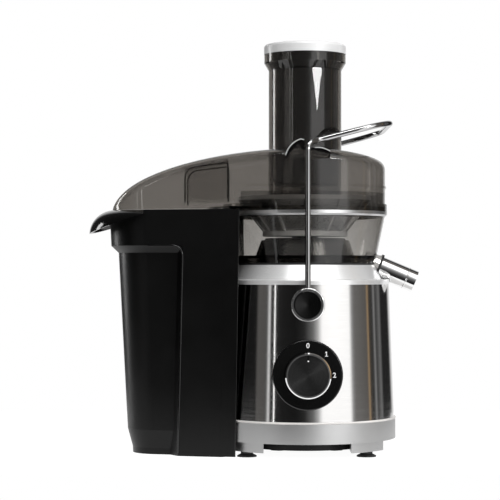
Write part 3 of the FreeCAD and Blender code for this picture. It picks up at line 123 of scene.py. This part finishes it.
class Finish:
    """A material: one Principled shader and what feeds it."""

    def __init__(self, name, **sockets):
        self.material = bpy.data.materials.new(name)
        self.material.use_nodes = True
        self.tree = self.material.node_tree
        self.shader = self.tree.nodes["Principled BSDF"]
        self.set(**sockets)

    def set(self, **sockets):
        """Feeds shader sockets, named in words joined by underscores."""
        for name, value in sockets.items():
            self.feed(self.shader.inputs[SOCKETS.get(name, name.replace("_", " ").title())], value)
        return self

    def feed(self, socket, value):
        if isinstance(value, bpy.types.NodeSocket):
            self.tree.links.new(value, socket)
        else:
            socket.default_value = value

    def add(self, kind, inputs=(), **settings):
        node = self.tree.nodes.new("ShaderNode" + kind)
        for name, value in settings.items():
            setattr(node, name, value)
        for key, value in dict(inputs).items():
            self.feed(node.inputs[key], value)
        return node

    def place(self, stretch=(1, 1, 1), centre=Vector()):
        """Coordinates in millimetres from a centre, squeezed or stretched per axis."""
        spot = self.add("TexCoord").outputs["Object"]
        moved = self.add("VectorMath", {0: spot, 1: centre}, operation="SUBTRACT").outputs[0]
        scale = Vector(stretch) / MM
        return self.add("VectorMath", {0: moved, 1: scale}, operation="MULTIPLY").outputs[0]

    def noise(self, size, stretch=(1, 1, 1), detail=3.0, rough=0.5):
        """Noise whose lumps measure about size millimetres."""
        inputs = {"Vector": self.place(stretch), "Scale": 1 / size, "Detail": detail, "Roughness": rough}
        return self.add("TexNoise", inputs).outputs["Fac"]

    def math(self, operation, first, second=0.0):
        return self.add("Math", {0: first, 1: second}, operation=operation).outputs[0]

    def spread(self, value, low, high, start=0.3, end=0.7):
        """Maps a value between start and end to low and high."""
        inputs = {"Value": value, "From Min": start, "From Max": end, "To Min": low, "To Max": high}
        return self.add("MapRange", inputs).outputs[0]

    def blend(self, share, first, second):
        """A colour between two, by a share from 0 to 1."""
        mix = self.add("Mix", data_type="RGBA")
        sockets = [s for s in mix.inputs if s.enabled]
        for socket, value in zip(sockets, (share, first, second)):
            self.feed(socket, value)
        return next(s for s in mix.outputs if s.enabled)

    def shade(self, share, dark, light):
        """The same for two plain colours."""
        return self.blend(share, (*dark, 1), (*light, 1))

    def every(self, tests):
        """1 where all tests give 1, and 0 elsewhere."""
        share = tests[0]
        for test in tests[1:]:
            share = self.math("MULTIPLY", share, test)
        return share

    def bump(self, height, depth, base=None):
        """Relief of a depth in millimetres, on the surface's own direction or on a given one."""
        inputs = {"Height": height, "Distance": depth * MM}
        if base:
            inputs["Normal"] = base
        self.set(normal=self.add("Bump", inputs).outputs[0])
        return self


def grey(level, warm=0.0):
    """A grey, a little warmer with a positive share."""
    return level * (1 + warm), level, level * (1 - warm)


def moulded(name, level, rough, grain, depth, metal=0.0, warm=0.0, spread=0.06):
    """Moulded plastic or rubber: eroded grain, slight cloudiness and uneven gloss."""
    finish = Finish(name, metallic=metal)
    cloud = finish.noise(38, detail=2)
    fine = finish.noise(grain, detail=4)
    dark, light = grey(level * 0.88, warm), grey(level * 1.12, warm)
    gloss = finish.math("MULTIPLY", fine, finish.spread(cloud, 0.8, 1.2))
    finish.set(
        base_color=finish.shade(finish.spread(cloud, 0, 1), dark, light),
        roughness=finish.spread(gloss, rough - spread, rough + spread),
    )
    return finish.bump(fine, depth)


def black_plastic():
    finish = moulded("black_plastic", level=0.0025, rough=0.36, grain=0.35, depth=0.015)
    return finish.set(specular_ior_level=0.25)


def gloss_black():
    finish = moulded("gloss_black", level=0.0025, rough=0.12, grain=1.6, depth=0.004, spread=0.04)
    return finish.set(specular_ior_level=0.35, coat_weight=0.25, coat_roughness=0.04)


def silver_plastic():
    """Silver-sprayed plastic: fine metal flakes under a satin lacquer."""
    finish = Finish("silver_plastic", metallic=0.55)
    flake = finish.noise(0.25, detail=1)
    cloud = finish.noise(30, detail=2)
    tone = finish.math("ADD", finish.spread(flake, -0.12, 0.12), finish.spread(cloud, 0.45, 0.55))
    finish.set(
        base_color=finish.shade(tone, grey(0.74), grey(0.90)),
        roughness=finish.spread(flake, 0.24, 0.36),
    )
    return finish.bump(flake, 0.004)


def satin_grey():
    """The painted base ring, a darker silver than the collar."""
    finish = Finish("satin_grey_plastic", metallic=0.92)
    flake = finish.noise(0.3, detail=1)
    cloud = finish.noise(26, detail=2)
    tone = finish.math("ADD", finish.spread(flake, -0.15, 0.15), finish.spread(cloud, 0.4, 0.6))
    finish.set(
        base_color=finish.shade(tone, grey(0.44), grey(0.54)),
        roughness=finish.spread(flake, 0.34, 0.48),
    )
    return finish.bump(flake, 0.006)


def pale_trim():
    return moulded("pale_trim", level=0.62, rough=0.30, grain=0.5, depth=0.006, warm=0.03)


def brushed_steel():
    """Sheet brushed round the base: fine level scratches, which smear reflections upwards.

    The sheet draws in a little towards the top, and mirrors as a true cone."""
    draw_in, rise = 5, 131
    finish = Finish("brushed_steel", metallic=1.0, anisotropic=0.6)
    line = finish.noise(0.22, (0.010, 0.010, 1), detail=5, rough=0.65)
    grain = finish.noise(1.5, (0.030, 0.030, 1), detail=3)
    cloud = finish.noise(45, (1, 1, 0.4), detail=2)
    tone = finish.math("ADD", finish.spread(line, -0.20, 0.20), finish.spread(cloud, 0.4, 0.6))
    finish.set(
        base_color=finish.shade(tone, grey(0.52, 0.012), grey(0.68, 0.012)),
        roughness=finish.spread(grain, 0.09, 0.14),
        tangent=finish.add("CombineXYZ", {"Z": 1.0}).outputs[0],
    )
    level = finish.add("VectorMath", {0: finish.place((1, 1, 0), AXIS)}, operation="NORMALIZE").outputs[0]
    leaning = finish.add("VectorMath", {0: level, 1: (0, 0, draw_in / rise)}, operation="ADD").outputs[0]
    outward = finish.add("VectorMath", {0: leaning}, operation="NORMALIZE").outputs[0]
    return finish.bump(line, 0.0003, outward)


def chrome(name, level):
    finish = Finish(name, metallic=1.0)
    wipe = finish.noise(6, (1, 1, 0.3), detail=3)
    finish.set(
        base_color=finish.shade(finish.spread(wipe, 0, 1), grey(level * 0.94), grey(level * 1.06)),
        roughness=finish.spread(wipe, 0.035, 0.085),
    )
    return finish.bump(finish.noise(14, detail=1), 0.004)


def ground_steel(name, level, size):
    """Turned or ground steel inside the machine."""
    finish = Finish(name, metallic=1.0)
    line = finish.noise(size, (0.05, 0.05, 1), detail=4)
    finish.set(
        base_color=finish.shade(finish.spread(line, 0, 1), grey(level * 0.85), grey(level * 1.1)),
        roughness=finish.spread(line, 0.22, 0.38),
    )
    return finish.bump(line, 0.004)


def filter_steel():
    """Etched sheet with rows of tiny round holes, set off by half a pitch from row to row."""
    pitch, holes = 1.1, 260
    hole, edge = 0.24, 0.34
    finish = Finish("filter_steel", metallic=1.0)
    spot = finish.add("SeparateXYZ", {0: finish.place(centre=AXIS)})
    turn = finish.math("ARCTAN2", spot.outputs["Y"], spot.outputs["X"])
    row = finish.math("DIVIDE", spot.outputs["Z"], pitch)
    shift = finish.math("MULTIPLY", finish.math("FLOOR", row), 0.5)
    along = finish.math("ADD", finish.math("MULTIPLY", turn, holes / math.tau), shift)
    offsets = [finish.math("SUBTRACT", finish.math("FRACT", value), 0.5) for value in (along, row)]
    squares = [finish.math("MULTIPLY", value, value) for value in offsets]
    away = finish.math("SQRT", finish.math("ADD", *squares))
    sheet = finish.spread(away, 0, 1, hole, edge)
    finish.set(
        base_color=finish.shade(sheet, grey(0.10), grey(0.74)),
        roughness=finish.spread(finish.noise(0.8), 0.22, 0.34),
    )
    return finish.bump(sheet, 0.12)


def spun_metal():
    """The dial's turned disc: concentric cuts, whose shine fans out from the middle."""
    finish = Finish("spun_metal", metallic=1.0, anisotropic=0.9, anisotropic_rotation=0.25)
    spot = finish.add("SeparateXYZ", {0: finish.place(centre=DIAL)})
    squares = [finish.math("MULTIPLY", spot.outputs[a], spot.outputs[a]) for a in "XZ"]
    away = finish.math("SQRT", finish.math("ADD", *squares))
    inputs = {"W": away, "Scale": 5.0, "Detail": 4.0}
    cut = finish.add("TexNoise", inputs, noise_dimensions="1D").outputs["Fac"]
    finish.set(
        base_color=finish.shade(finish.spread(cut, 0, 1), grey(0.03), grey(0.07)),
        roughness=finish.spread(cut, 0.26, 0.38),
        tangent=finish.add("Tangent", direction_type="RADIAL", axis="Y").outputs[0],
    )
    return finish.bump(cut, 0.003)


def wound_copper():
    """Enamelled wire laid in turns."""
    finish = Finish("copper", metallic=1.0)
    inputs = {"Vector": finish.place(), "Scale": 0.5, "Distortion": 1.5}
    turns = finish.add("TexWave", inputs, bands_direction="Z").outputs["Fac"]
    finish.set(
        base_color=finish.shade(turns, (0.24, 0.09, 0.04), (0.62, 0.30, 0.14)),
        roughness=finish.spread(turns, 0.42, 0.26, 0, 1),
    )
    return finish.bump(turns, 0.3)


def stacked_sheet():
    """Thin iron sheets stacked along the shaft."""
    finish = Finish("lamination", metallic=0.8)
    inputs = {"Vector": finish.place(), "Scale": 0.6}
    sheets = finish.add("TexWave", inputs, bands_direction="Z").outputs["Fac"]
    finish.set(
        base_color=finish.shade(sheets, grey(0.12), grey(0.30)),
        roughness=finish.spread(finish.noise(2), 0.40, 0.60),
    )
    return finish.bump(sheets, 0.08)


def cast_aluminium():
    return moulded("motor_aluminium", level=0.55, rough=0.45, grain=0.7, depth=0.03, metal=1.0)


def guide_share(finish):
    """1 on the flat sides of the guide plates inside the lid, 0 elsewhere."""
    start, end, place, reach = -119.5, -75.5, 39.0, 1.3
    flat = 0.9
    spot = finish.add("SeparateXYZ", {0: finish.place(centre=AXIS)}).outputs
    facing = finish.add("SeparateXYZ", {0: finish.add("NewGeometry").outputs["Normal"]}).outputs["Y"]
    off = finish.math("ABSOLUTE", finish.math("SUBTRACT", finish.math("ABSOLUTE", spot["Y"]), place))
    return finish.every([
        finish.math("LESS_THAN", off, reach),
        finish.math("GREATER_THAN", spot["X"], start),
        finish.math("LESS_THAN", spot["X"], end),
        finish.math("GREATER_THAN", finish.math("ABSOLUTE", facing), flat),
    ])


def band_shade_share(finish):
    """1 on the lower band of the lid's round end, where painted shade darkens the skin, and 0 elsewhere."""
    low, high, end = 242.0, 257.0, -64.0
    spot = finish.add("SeparateXYZ", {0: finish.place(centre=AXIS)}).outputs
    return finish.every([
        finish.math("GREATER_THAN", spot["Z"], low),
        finish.math("LESS_THAN", spot["Z"], high),
        finish.math("GREATER_THAN", spot["X"], end),
    ])


def smoke_clear(name, left, skin=None):
    """Clear smoky plastic, by the light left after one wall, which lets lamp light through to the inside.

    A skin tints the surface once more and leaves the guide plates clear; on the lower band the skin is darker
    still, as painted shade."""
    wall = 2.4 * MM
    # band: the share of the skin's light left on the lower band, which paints shade there
    band, lamp_left = 0.55, 0.93
    plain = (1, 1, 1, 1)
    density = -math.log(min(left)) / wall
    tint = [1 + math.log(share) / wall / density for share in left]
    finish = Finish(name, transmission_weight=1.0, ior=1.49, base_color=plain)
    finish.set(roughness=finish.spread(finish.noise(20, detail=2), 0.0, 0.03))
    if skin:
        # The skin, darkened on the lower band as painted shade
        shell = finish.shade(band_shade_share(finish), skin, [band * share for share in skin])
        finish.set(base_color=finish.blend(guide_share(finish), shell, plain))
    finish.bump(finish.noise(24, detail=1), 0.05)
    film = finish.add("BsdfTransparent", {"Color": (*grey(lamp_left), 1)})
    lamp = finish.add("LightPath").outputs["Is Shadow Ray"]
    both = finish.add("MixShader", {0: lamp, 1: finish.shader.outputs[0], 2: film.outputs[0]})
    smoke = finish.add("VolumeAbsorption", {"Color": (*tint, 1), "Density": density})
    output = finish.tree.nodes["Material Output"]
    finish.feed(output.inputs["Surface"], both.outputs[0])
    finish.feed(output.inputs["Volume"], smoke.outputs[0])
    return finish


def white_print():
    return moulded("white_print", level=0.80, rough=0.40, grain=0.2, depth=0.004)


def dress_nodes():
    """Gives every CAD node the finish of its slot, and four of them a different one."""
    finishes = {
        "satin_grey_plastic": satin_grey(),
        "pale_trim": pale_trim(),
        "silver_plastic": silver_plastic(),
        "brushed_steel": brushed_steel(),
        "black_plastic": black_plastic(),
        "gloss_black": gloss_black(),
        "smoke_clear": smoke_clear("smoke_clear", left=(0.70, 0.69, 0.675), skin=(0.54, 0.525, 0.51)),
        "chrome": chrome("chrome", level=0.85),
        "filter_steel": filter_steel(),
        "frame_plastic": moulded("frame_plastic", level=0.42, rough=0.30, grain=0.5, depth=0.01),
        "black_rubber": moulded("black_rubber", level=0.012, rough=0.62, grain=0.5, depth=0.03),
        "spun_metal": spun_metal(),
        "housing_plastic": moulded("housing_plastic", level=0.06, rough=0.5, grain=0.6, depth=0.02),
        "lamination": stacked_sheet(),
        "copper": wound_copper(),
        "motor_aluminium": cast_aluminium(),
        "bright_steel": ground_steel("bright_steel", level=0.66, size=0.3),
    }
    for piece in frame["record"]["subparts"]:
        mesh = nodes[piece["node"]].data
        mesh.materials.clear()
        mesh.materials.append(finishes[piece["material_slot"]].material)
    bowl = smoke_clear("smoke_bowl", left=(0.60, 0.59, 0.575))
    nodes["juice_bowl"].data.materials[0] = bowl.material
    nodes["drive_tower"].data.materials[0] = finishes["gloss_black"].material
    # The pusher cap, of the collar's silver plastic, gets a paler plastic of its own: painted light, for the
    # light falling on it
    cap = moulded("cap_painted_light", level=0.64, rough=0.28, grain=0.5, depth=0.004)
    nodes["pusher_cap"].data.materials[0] = cap.material
    nodes["lock_arm"].data.materials[0] = chrome("dark_chrome", level=0.42).material
    return finishes


def mesh_piece(name, mesh, finish, body):
    """A visible piece that rides on a body."""
    thing = bpy.data.objects.new(name, mesh)
    bpy.context.scene.collection.objects.link(thing)
    mesh.materials.clear()
    mesh.materials.append(finish.material)
    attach(thing, body)


def numeral_mesh(text, height, thickness):
    """A raised numeral, upright and facing the camera's side, centred on its own origin."""
    capital, bolder = 0.7, 0.03
    curve = bpy.data.curves.new("numeral", "FONT")
    curve.body = text
    curve.align_x = "CENTER"
    curve.align_y = "CENTER"
    curve.size = height / capital
    curve.offset = height * bolder
    curve.extrude = thickness / 2
    carrier = bpy.data.objects.new("numeral", curve)
    mesh = bpy.data.meshes.new_from_object(carrier)
    bpy.data.objects.remove(carrier)
    mesh.transform(Matrix.Rotation(math.radians(90), 4, "X"))
    return mesh


def one_mesh(height, thickness):
    """The numeral 1 with its flag and foot."""
    foot = [(-0.30, -0.36), (-0.30, -0.5), (0.34, -0.5), (0.34, -0.36)]
    stem = [(0.12, -0.36), (0.12, 0.5), (-0.06, 0.5)]
    flag = [(-0.28, 0.34), (-0.28, 0.19), (-0.08, 0.29), (-0.08, -0.36)]
    outline = foot + stem + flag
    return prism_mesh("numeral_1", [(x * height, z * height) for x, z in outline], thickness)


def print_dial():
    """The positions 0, 1 and 2 on the bezel."""
    paint = white_print()
    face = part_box("dial_bezel")[0].y
    height, thickness, sunk = 4.6 * MM, 0.2 * MM, 0.02 * MM
    for text, turn, reach in (("0", 0, 28.0), ("1", 41, 26.8), ("2", 90, 25.2)):
        mesh = one_mesh(height, thickness) if text == "1" else numeral_mesh(text, height, thickness)
        angle = math.radians(turn)
        spot = DIAL + Vector((math.sin(angle), 0, math.cos(angle))) * reach * MM
        spot.y = face - thickness / 2 + sunk
        mesh.transform(Matrix.Translation(spot))
        mesh_piece(f"numeral_{text}", mesh, paint, "base")


def ring_mesh(name, profile, spot, steps=128):
    """A ring turned about an upright axis from corners (radius, height) in metres."""
    form = bmesh.new()
    corners = [form.verts.new((radius, 0, height)) for radius, height in profile]
    edges = [form.edges.new(pair) for pair in zip(corners, corners[1:] + corners[:1])]
    bmesh.ops.spin(
        form,
        geom=corners + edges,
        cent=(0, 0, 0),
        axis=(0, 0, 1),
        angle=math.tau,
        steps=steps,
        use_merge=True,
    )
    bmesh.ops.recalc_face_normals(form, faces=form.faces[:])
    bmesh.ops.translate(form, vec=spot, verts=form.verts)
    mesh = bpy.data.meshes.new(name)
    form.to_mesh(mesh)
    form.free()
    mesh.shade_smooth()
    mesh.set_sharp_from_angle(angle=math.radians(40))
    return mesh


def solid_mesh(name, verts):
    """A closed form between two outlines with the same number of corners, the second after the first."""
    count = len(verts) // 2
    ends = [tuple(range(count))[::-1], tuple(range(count, 2 * count))]
    sides = [(i, (i + 1) % count, (i + 1) % count + count, i + count) for i in range(count)]
    mesh = bpy.data.meshes.new(name)
    mesh.from_pydata(verts, [], ends + sides)
    form = bmesh.new()
    form.from_mesh(mesh)
    bmesh.ops.recalc_face_normals(form, faces=form.faces[:])
    form.to_mesh(mesh)
    form.free()
    return mesh


def prism_mesh(name, outline, reach):
    """A flat form of corners (x, z) with its front at minus half the reach in y."""
    return solid_mesh(name, [(x, y, z) for y in (-reach / 2, reach / 2) for x, z in outline])


def edge_bin(finishes):
    """The upright edges of the bin beside the base, drawn out to a sharp corner inside the wall's own plane.

    The wall closes in away from the base, by the share narrow of its length. Sizes are in millimetres."""
    narrow = 0.235
    straight = math.sqrt(1 - narrow ** 2)
    under, thick, cover, bead = 0.05, 1.0, 22.0, 0.5
    # Each level: height, then how far from the motor axis the wall's plane lies, and the edge to the left
    levels = ((0.4, 74.5, 69.6), (239.6, 82.5, 65.6))
    for side, name in ((-1, "bin_edge_front"), (1, "bin_edge_rear")):
        verts = []
        for height, plane, left in levels:
            edge = (left - plane * narrow) / straight
            face, inside = plane - under, plane - under - thick
            for along, out in ((edge, face), (edge + cover, face), (edge + cover, inside), (edge, inside)):
                x = -out * narrow - along * straight
                y = out * straight - along * narrow
                verts.append(AXIS + Vector((x, side * y, height)) * MM)
        mesh_piece(name, solid_mesh(name, verts), finishes["black_plastic"], "bin")
        line = bead_mesh(name + "_bead", [verts[0], verts[4]], bead * MM)
        mesh_piece(name + "_bead", line, finishes["gloss_black"], "bin")


def bead_mesh(name, points, radius):
    """A round bead along points."""
    curve = bpy.data.curves.new(name, "CURVE")
    curve.dimensions = "3D"
    curve.bevel_depth = radius
    curve.bevel_resolution = 3
    curve.use_fill_caps = True
    line = curve.splines.new("POLY")
    line.points.add(len(points) - 1)
    for place, co in zip(line.points, points):
        place.co = (*co, 1)
    carrier = bpy.data.objects.new(name, curve)
    mesh = bpy.data.meshes.new_from_object(carrier)
    bpy.data.objects.remove(carrier)
    mesh.shade_smooth()
    return mesh


def round_corner(before, corner, after, bend, steps=8):
    """Points of a path round a corner."""
    lead = corner + (before - corner).normalized() * bend
    leave = corner + (after - corner).normalized() * bend
    shares = [step / steps for step in range(steps + 1)]
    return [lead * (1 - t) ** 2 + corner * 2 * t * (1 - t) + leave * t ** 2 for t in shares]


def bead_bin(finishes):
    """The rounded edge of the recess in each side of the bin: along the band, round the corner and down."""
    band, corner, foot = Vector((-104, 46.3, 205)), Vector((-69.6, 54.5, 205)), Vector((-74.4, 46.6, 3))
    bend, radius = 12.0, 1.2
    path = (band, *round_corner(band, corner, foot, bend), foot)
    for side, name in ((-1, "bin_bead_front"), (1, "bin_bead_rear")):
        points = [Vector((co.x, side * co.y, co.z)) * MM for co in path]
        mesh_piece(name, bead_mesh(name, points, radius * MM), finishes["gloss_black"], "bin")


def shade_bead_guides(finishes):
    """A dark bead along the edge of each guide plate in the lid, as painted shade for the dark line the clear
    plate's edge shows: up its outer end, along under the dome and down again.
    """
    outer, inner, place = -118.4, -76.6, 40.2
    wide, tight, radius = 12.0, 3.0, 0.8
    start, left = Vector((outer, place, 247.0)), Vector((outer, place, 281.5))
    right, end = Vector((inner, place, 286.5)), Vector((inner, place, 251.0))
    path = (start, *round_corner(start, left, right, wide), *round_corner(left, right, end, tight), end)
    # Gloss black line that paints the shade along each plate's edge
    for side, name in ((-1, "guide_shade_line_front"), (1, "guide_shade_line_rear")):
        points = [AXIS + Vector((co.x, side * co.y, co.z)) * MM for co in path]
        mesh_piece(name, bead_mesh(name, points, radius * MM), finishes["gloss_black"], "base")


def glint_bead_lugs():
    """A pale bead along the rounded edges of each lock lug, tall on the left, low on the right: a painted
    highlight for the light the lugs' clear edges catch.
    """
    foot, reach = 0.2896, 22 * MM
    notch, apex, drop = -3 * MM, 6 * MM, 2 * MM
    flat, radius = 0.05 * MM, 0.45 * MM
    # Pale grey that paints the highlight on the lugs' edges
    finish = Finish("lug_glint", ior=1.49)
    cloud = finish.noise(2, detail=2)
    finish.set(
        base_color=finish.shade(finish.spread(cloud, 0, 1), grey(0.42), grey(0.58)),
        roughness=finish.spread(cloud, 0.15, 0.25),
    )
    corners = [v.co - AXIS for v in nodes["lid"].data.vertices]
    lugs = [co for co in corners if co.z > foot and abs(co.x) < reach]
    for side, place in ((-1, "front"), (1, "rear")):
        tip = max(side * co.y for co in lugs)
        face = [co for co in lugs if abs(side * co.y - tip) < flat]
        top = max(co.z for co in face)
        tall = [co for co in face if co.x < notch and (co.x < 2 * notch or co.z > top - drop)]
        low = [co for co in face if co.x > apex]
        for half, edge in (("tall", tall), ("low", low)):
            name = f"lug_glint_{place}_{half}"
            points = [AXIS + co for co in sorted(edge, key=lambda co: co.x)]
            mesh_piece(name, bead_mesh(name, points, radius), finish, "base")


def ring_bowl_highlight():
    """A pale satin ring under and round the bowl's rim, a painted highlight for the light the clear rim
    catches, by its corners out from the rim and up from its top.
    """
    corners = [(-1.75, -5.0), (0.25, -3.2), (0.25, -0.2), (0.1, -0.2), (0.1, -2.6), (-1.35, -2.6)]
    low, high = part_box("juice_bowl")
    rim = (high.y - low.y) / 2
    profile = [(rim + out * MM, high.z + up * MM) for out, up in corners]
    # Pale satin metal that paints the highlight along the bowl's rim
    finish = Finish("rim_highlight_ring", metallic=0.9)
    flake = finish.noise(0.3, detail=1)
    finish.set(
        base_color=finish.shade(finish.spread(flake, 0, 1), grey(0.50), grey(0.60)),
        roughness=finish.spread(flake, 0.24, 0.34),
    )
    mesh_piece("rim_highlight_ring", ring_mesh("rim_highlight_ring", profile, AXIS), finish, "base")


def box_mesh(name, size, spot):
    """A small box with bevelled edges round a spot."""
    form = bmesh.new()
    bmesh.ops.create_cube(form, size=1.0)
    bmesh.ops.scale(form, vec=size, verts=form.verts)
    bmesh.ops.bevel(form, geom=form.edges[:], offset=min(size) / 4, segments=2, affect="EDGES")
    bmesh.ops.translate(form, vec=spot, verts=form.verts)
    mesh = bpy.data.meshes.new(name)
    form.to_mesh(mesh)
    form.free()
    return mesh


def mark_knob(finishes):
    """The pointer on the knob: a dark bar with a white dot at its inner end."""
    low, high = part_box("dial_face")
    thickness, sunk = 0.3, 0.05
    for name, width, height, inset, finish, slot in (
        ("pointer_bar", 1.5, 4.2, 2.3, finishes["gloss_black"], "gloss_black"),
        ("pointer_dot", 1.4, 1.4, 5.4, white_print(), "pale_trim"),
    ):
        spot = Vector((DIAL.x, low.y - (thickness / 2 - sunk) * MM, high.z - inset * MM))
        mesh = box_mesh(name, Vector((width, thickness, height)) * MM, spot)
        mesh_piece(name, mesh, finish, "dial")


def studio_world():
    """White where the camera or clear plastic sees it, and a banded room where shiny surfaces mirror it."""
    world = bpy.data.worlds.new("studio")
    bpy.context.scene.world = world
    world.use_nodes = True
    world.cycles.sampling_method = "NONE"
    tree = world.node_tree
    link = tree.links.new

    def add(kind, **settings):
        node = tree.nodes.new("ShaderNode" + kind)
        for name, value in settings.items():
            setattr(node, name, value)
        return node

    split = add("SeparateXYZ")
    link(add("TexCoord").outputs["Generated"], split.inputs[0])
    back = add("Math", operation="MULTIPLY")
    link(split.outputs["Y"], back.inputs[0])
    back.inputs[1].default_value = -1
    azimuth = add("Math", operation="ARCTAN2")
    link(split.outputs["X"], azimuth.inputs[0])
    link(back.outputs[0], azimuth.inputs[1])
    share = add("MapRange")
    share.inputs["From Min"].default_value = -math.pi
    share.inputs["From Max"].default_value = math.pi
    link(azimuth.outputs[0], share.inputs["Value"])
    bands = add("ValToRGB")
    stops = bands.color_ramp.elements
    while len(stops) < len(ROOM_BANDS):
        stops.new(0.5)
    for stop, (angle, level, warm) in zip(stops, ROOM_BANDS):
        stop.position = (angle + 180) / 360
        stop.color = (*grey(level, warm), 1)
    link(share.outputs[0], bands.inputs["Fac"])
    path = add("LightPath")
    room = add("Background")
    link(bands.outputs[0], room.inputs["Color"])
    plain = add("Background")
    lean = add("MapRange")
    lean.inputs["From Min"].default_value = -1
    lean.inputs["To Min"].default_value = AMBIENT * (1 - AMBIENT_LEAN)
    lean.inputs["To Max"].default_value = AMBIENT * (1 + AMBIENT_LEAN)
    link(split.outputs["X"], lean.inputs["Value"])
    link(lean.outputs[0], plain.inputs["Strength"])
    white = add("Background")
    white.inputs["Color"].default_value = (1, 1, 1, 1)
    mirrored = add("MixShader")
    link(path.outputs["Is Glossy Ray"], mirrored.inputs[0])
    link(plain.outputs[0], mirrored.inputs[1])
    link(room.outputs[0], mirrored.inputs[2])
    seen = add("Math", operation="MAXIMUM")
    link(path.outputs["Is Camera Ray"], seen.inputs[0])
    link(path.outputs["Is Transmission Ray"], seen.inputs[1])
    whole = add("MixShader")
    link(seen.outputs[0], whole.inputs[0])
    link(mirrored.outputs[0], whole.inputs[1])
    link(white.outputs[0], whole.inputs[2])
    link(whole.outputs[0], tree.nodes["World Output"].inputs["Surface"])


def lamp(name, azimuth, elevation, distance, size, power, roll, mirrored):
    """A soft box that points at the juicer, and may show in shiny surfaces."""
    aim = AXIS + Vector((0, 0, LAMP_AIM))
    data = bpy.data.lights.new(name, "AREA")
    data.shape = "RECTANGLE"
    data.size, data.size_y = size
    data.energy = power
    thing = bpy.data.objects.new(name, data)
    bpy.context.scene.collection.objects.link(thing)
    a, e = math.radians(azimuth), math.radians(elevation)
    out = Vector((math.sin(a) * math.cos(e), -math.cos(a) * math.cos(e), math.sin(e)))
    thing.location = aim + out * distance
    turn = out.to_track_quat("Z", "Y").to_matrix().to_4x4()
    turn = turn @ Matrix.Rotation(math.radians(roll), 4, "Z")
    thing.rotation_euler = turn.to_euler()
    thing.visible_glossy = mirrored


def studio_floor():
    """A white table top that keeps a faint shadow."""
    reach, front = 0.5, -0.2
    corners = [(-reach, front, 0), (reach, front, 0), (reach, reach, 0), (-reach, reach, 0)]
    mesh = bpy.data.meshes.new("floor")
    mesh.from_pydata(corners, [], [range(4)])
    finish = Finish("floor", roughness=0.9, base_color=(0.86, 0.86, 0.86, 1))
    path = finish.add("LightPath").outputs
    clear = finish.math("MAXIMUM", path["Is Camera Ray"], path["Is Transmission Ray"])
    seen = finish.math("MAXIMUM", clear, path["Is Glossy Ray"])
    glow = finish.add("Emission", {"Strength": FLOOR_GLOW})
    share = finish.math("MULTIPLY", seen, FLOOR_SHARE)
    both = finish.add("MixShader", {0: share, 1: finish.shader.outputs[0], 2: glow.outputs[0]})
    finish.feed(finish.tree.nodes["Material Output"].inputs["Surface"], both.outputs[0])
    mesh.materials.append(finish.material)
    thing = bpy.data.objects.new("floor", mesh)
    bpy.context.scene.collection.objects.link(thing)


def studio_camera():
    data = bpy.data.cameras.new("camera")
    data.sensor_width = SENSOR
    data.lens = SENSOR * -CAMERA_SPOT.y / PICTURE_SPAN
    thing = bpy.data.objects.new("camera", data)
    bpy.context.scene.collection.objects.link(thing)
    thing.location = CAMERA_SPOT
    aim = Vector((CAMERA_SPOT.x, 0, CAMERA_SPOT.z + PICTURE_RISE))
    thing.rotation_euler = (aim - CAMERA_SPOT).to_track_quat("-Z", "Y").to_euler()
    bpy.context.scene.camera = thing


def light_card(name, corners, strength):
    """A bright card in front, with corners (azimuth, height), which shows only in shiny surfaces."""
    away = 1.6
    mesh = bpy.data.meshes.new(name)
    turns = [(math.radians(azimuth), height) for azimuth, height in corners]
    verts = [(AXIS.x + away * math.sin(a), -away * math.cos(a), height) for a, height in turns]
    mesh.from_pydata(verts, [], [range(len(verts))])
    finish = Finish(name)
    glow = finish.add("Emission", {"Strength": strength})
    finish.feed(finish.tree.nodes["Material Output"].inputs["Surface"], glow.outputs[0])
    mesh.materials.append(finish.material)
    card = bpy.data.objects.new(name, mesh)
    bpy.context.scene.collection.objects.link(card)
    card.visible_camera = False
    card.visible_diffuse = False
    card.visible_transmission = False
    card.visible_shadow = False


def studio():
    bpy.context.scene.view_settings.view_transform = "Standard"
    studio_world()
    studio_floor()
    studio_camera()
    for row in LAMPS:
        lamp(*row)
    light_card("chute_card", CHUTE_CARD, CHUTE_CARD_STRENGTH)


finishes = dress_nodes()
print_dial()
mark_knob(finishes)
ring_bowl_highlight()
glint_bead_lugs()
edge_bin(finishes)
bead_bin(finishes)
shade_bead_guides(finishes)
studio()
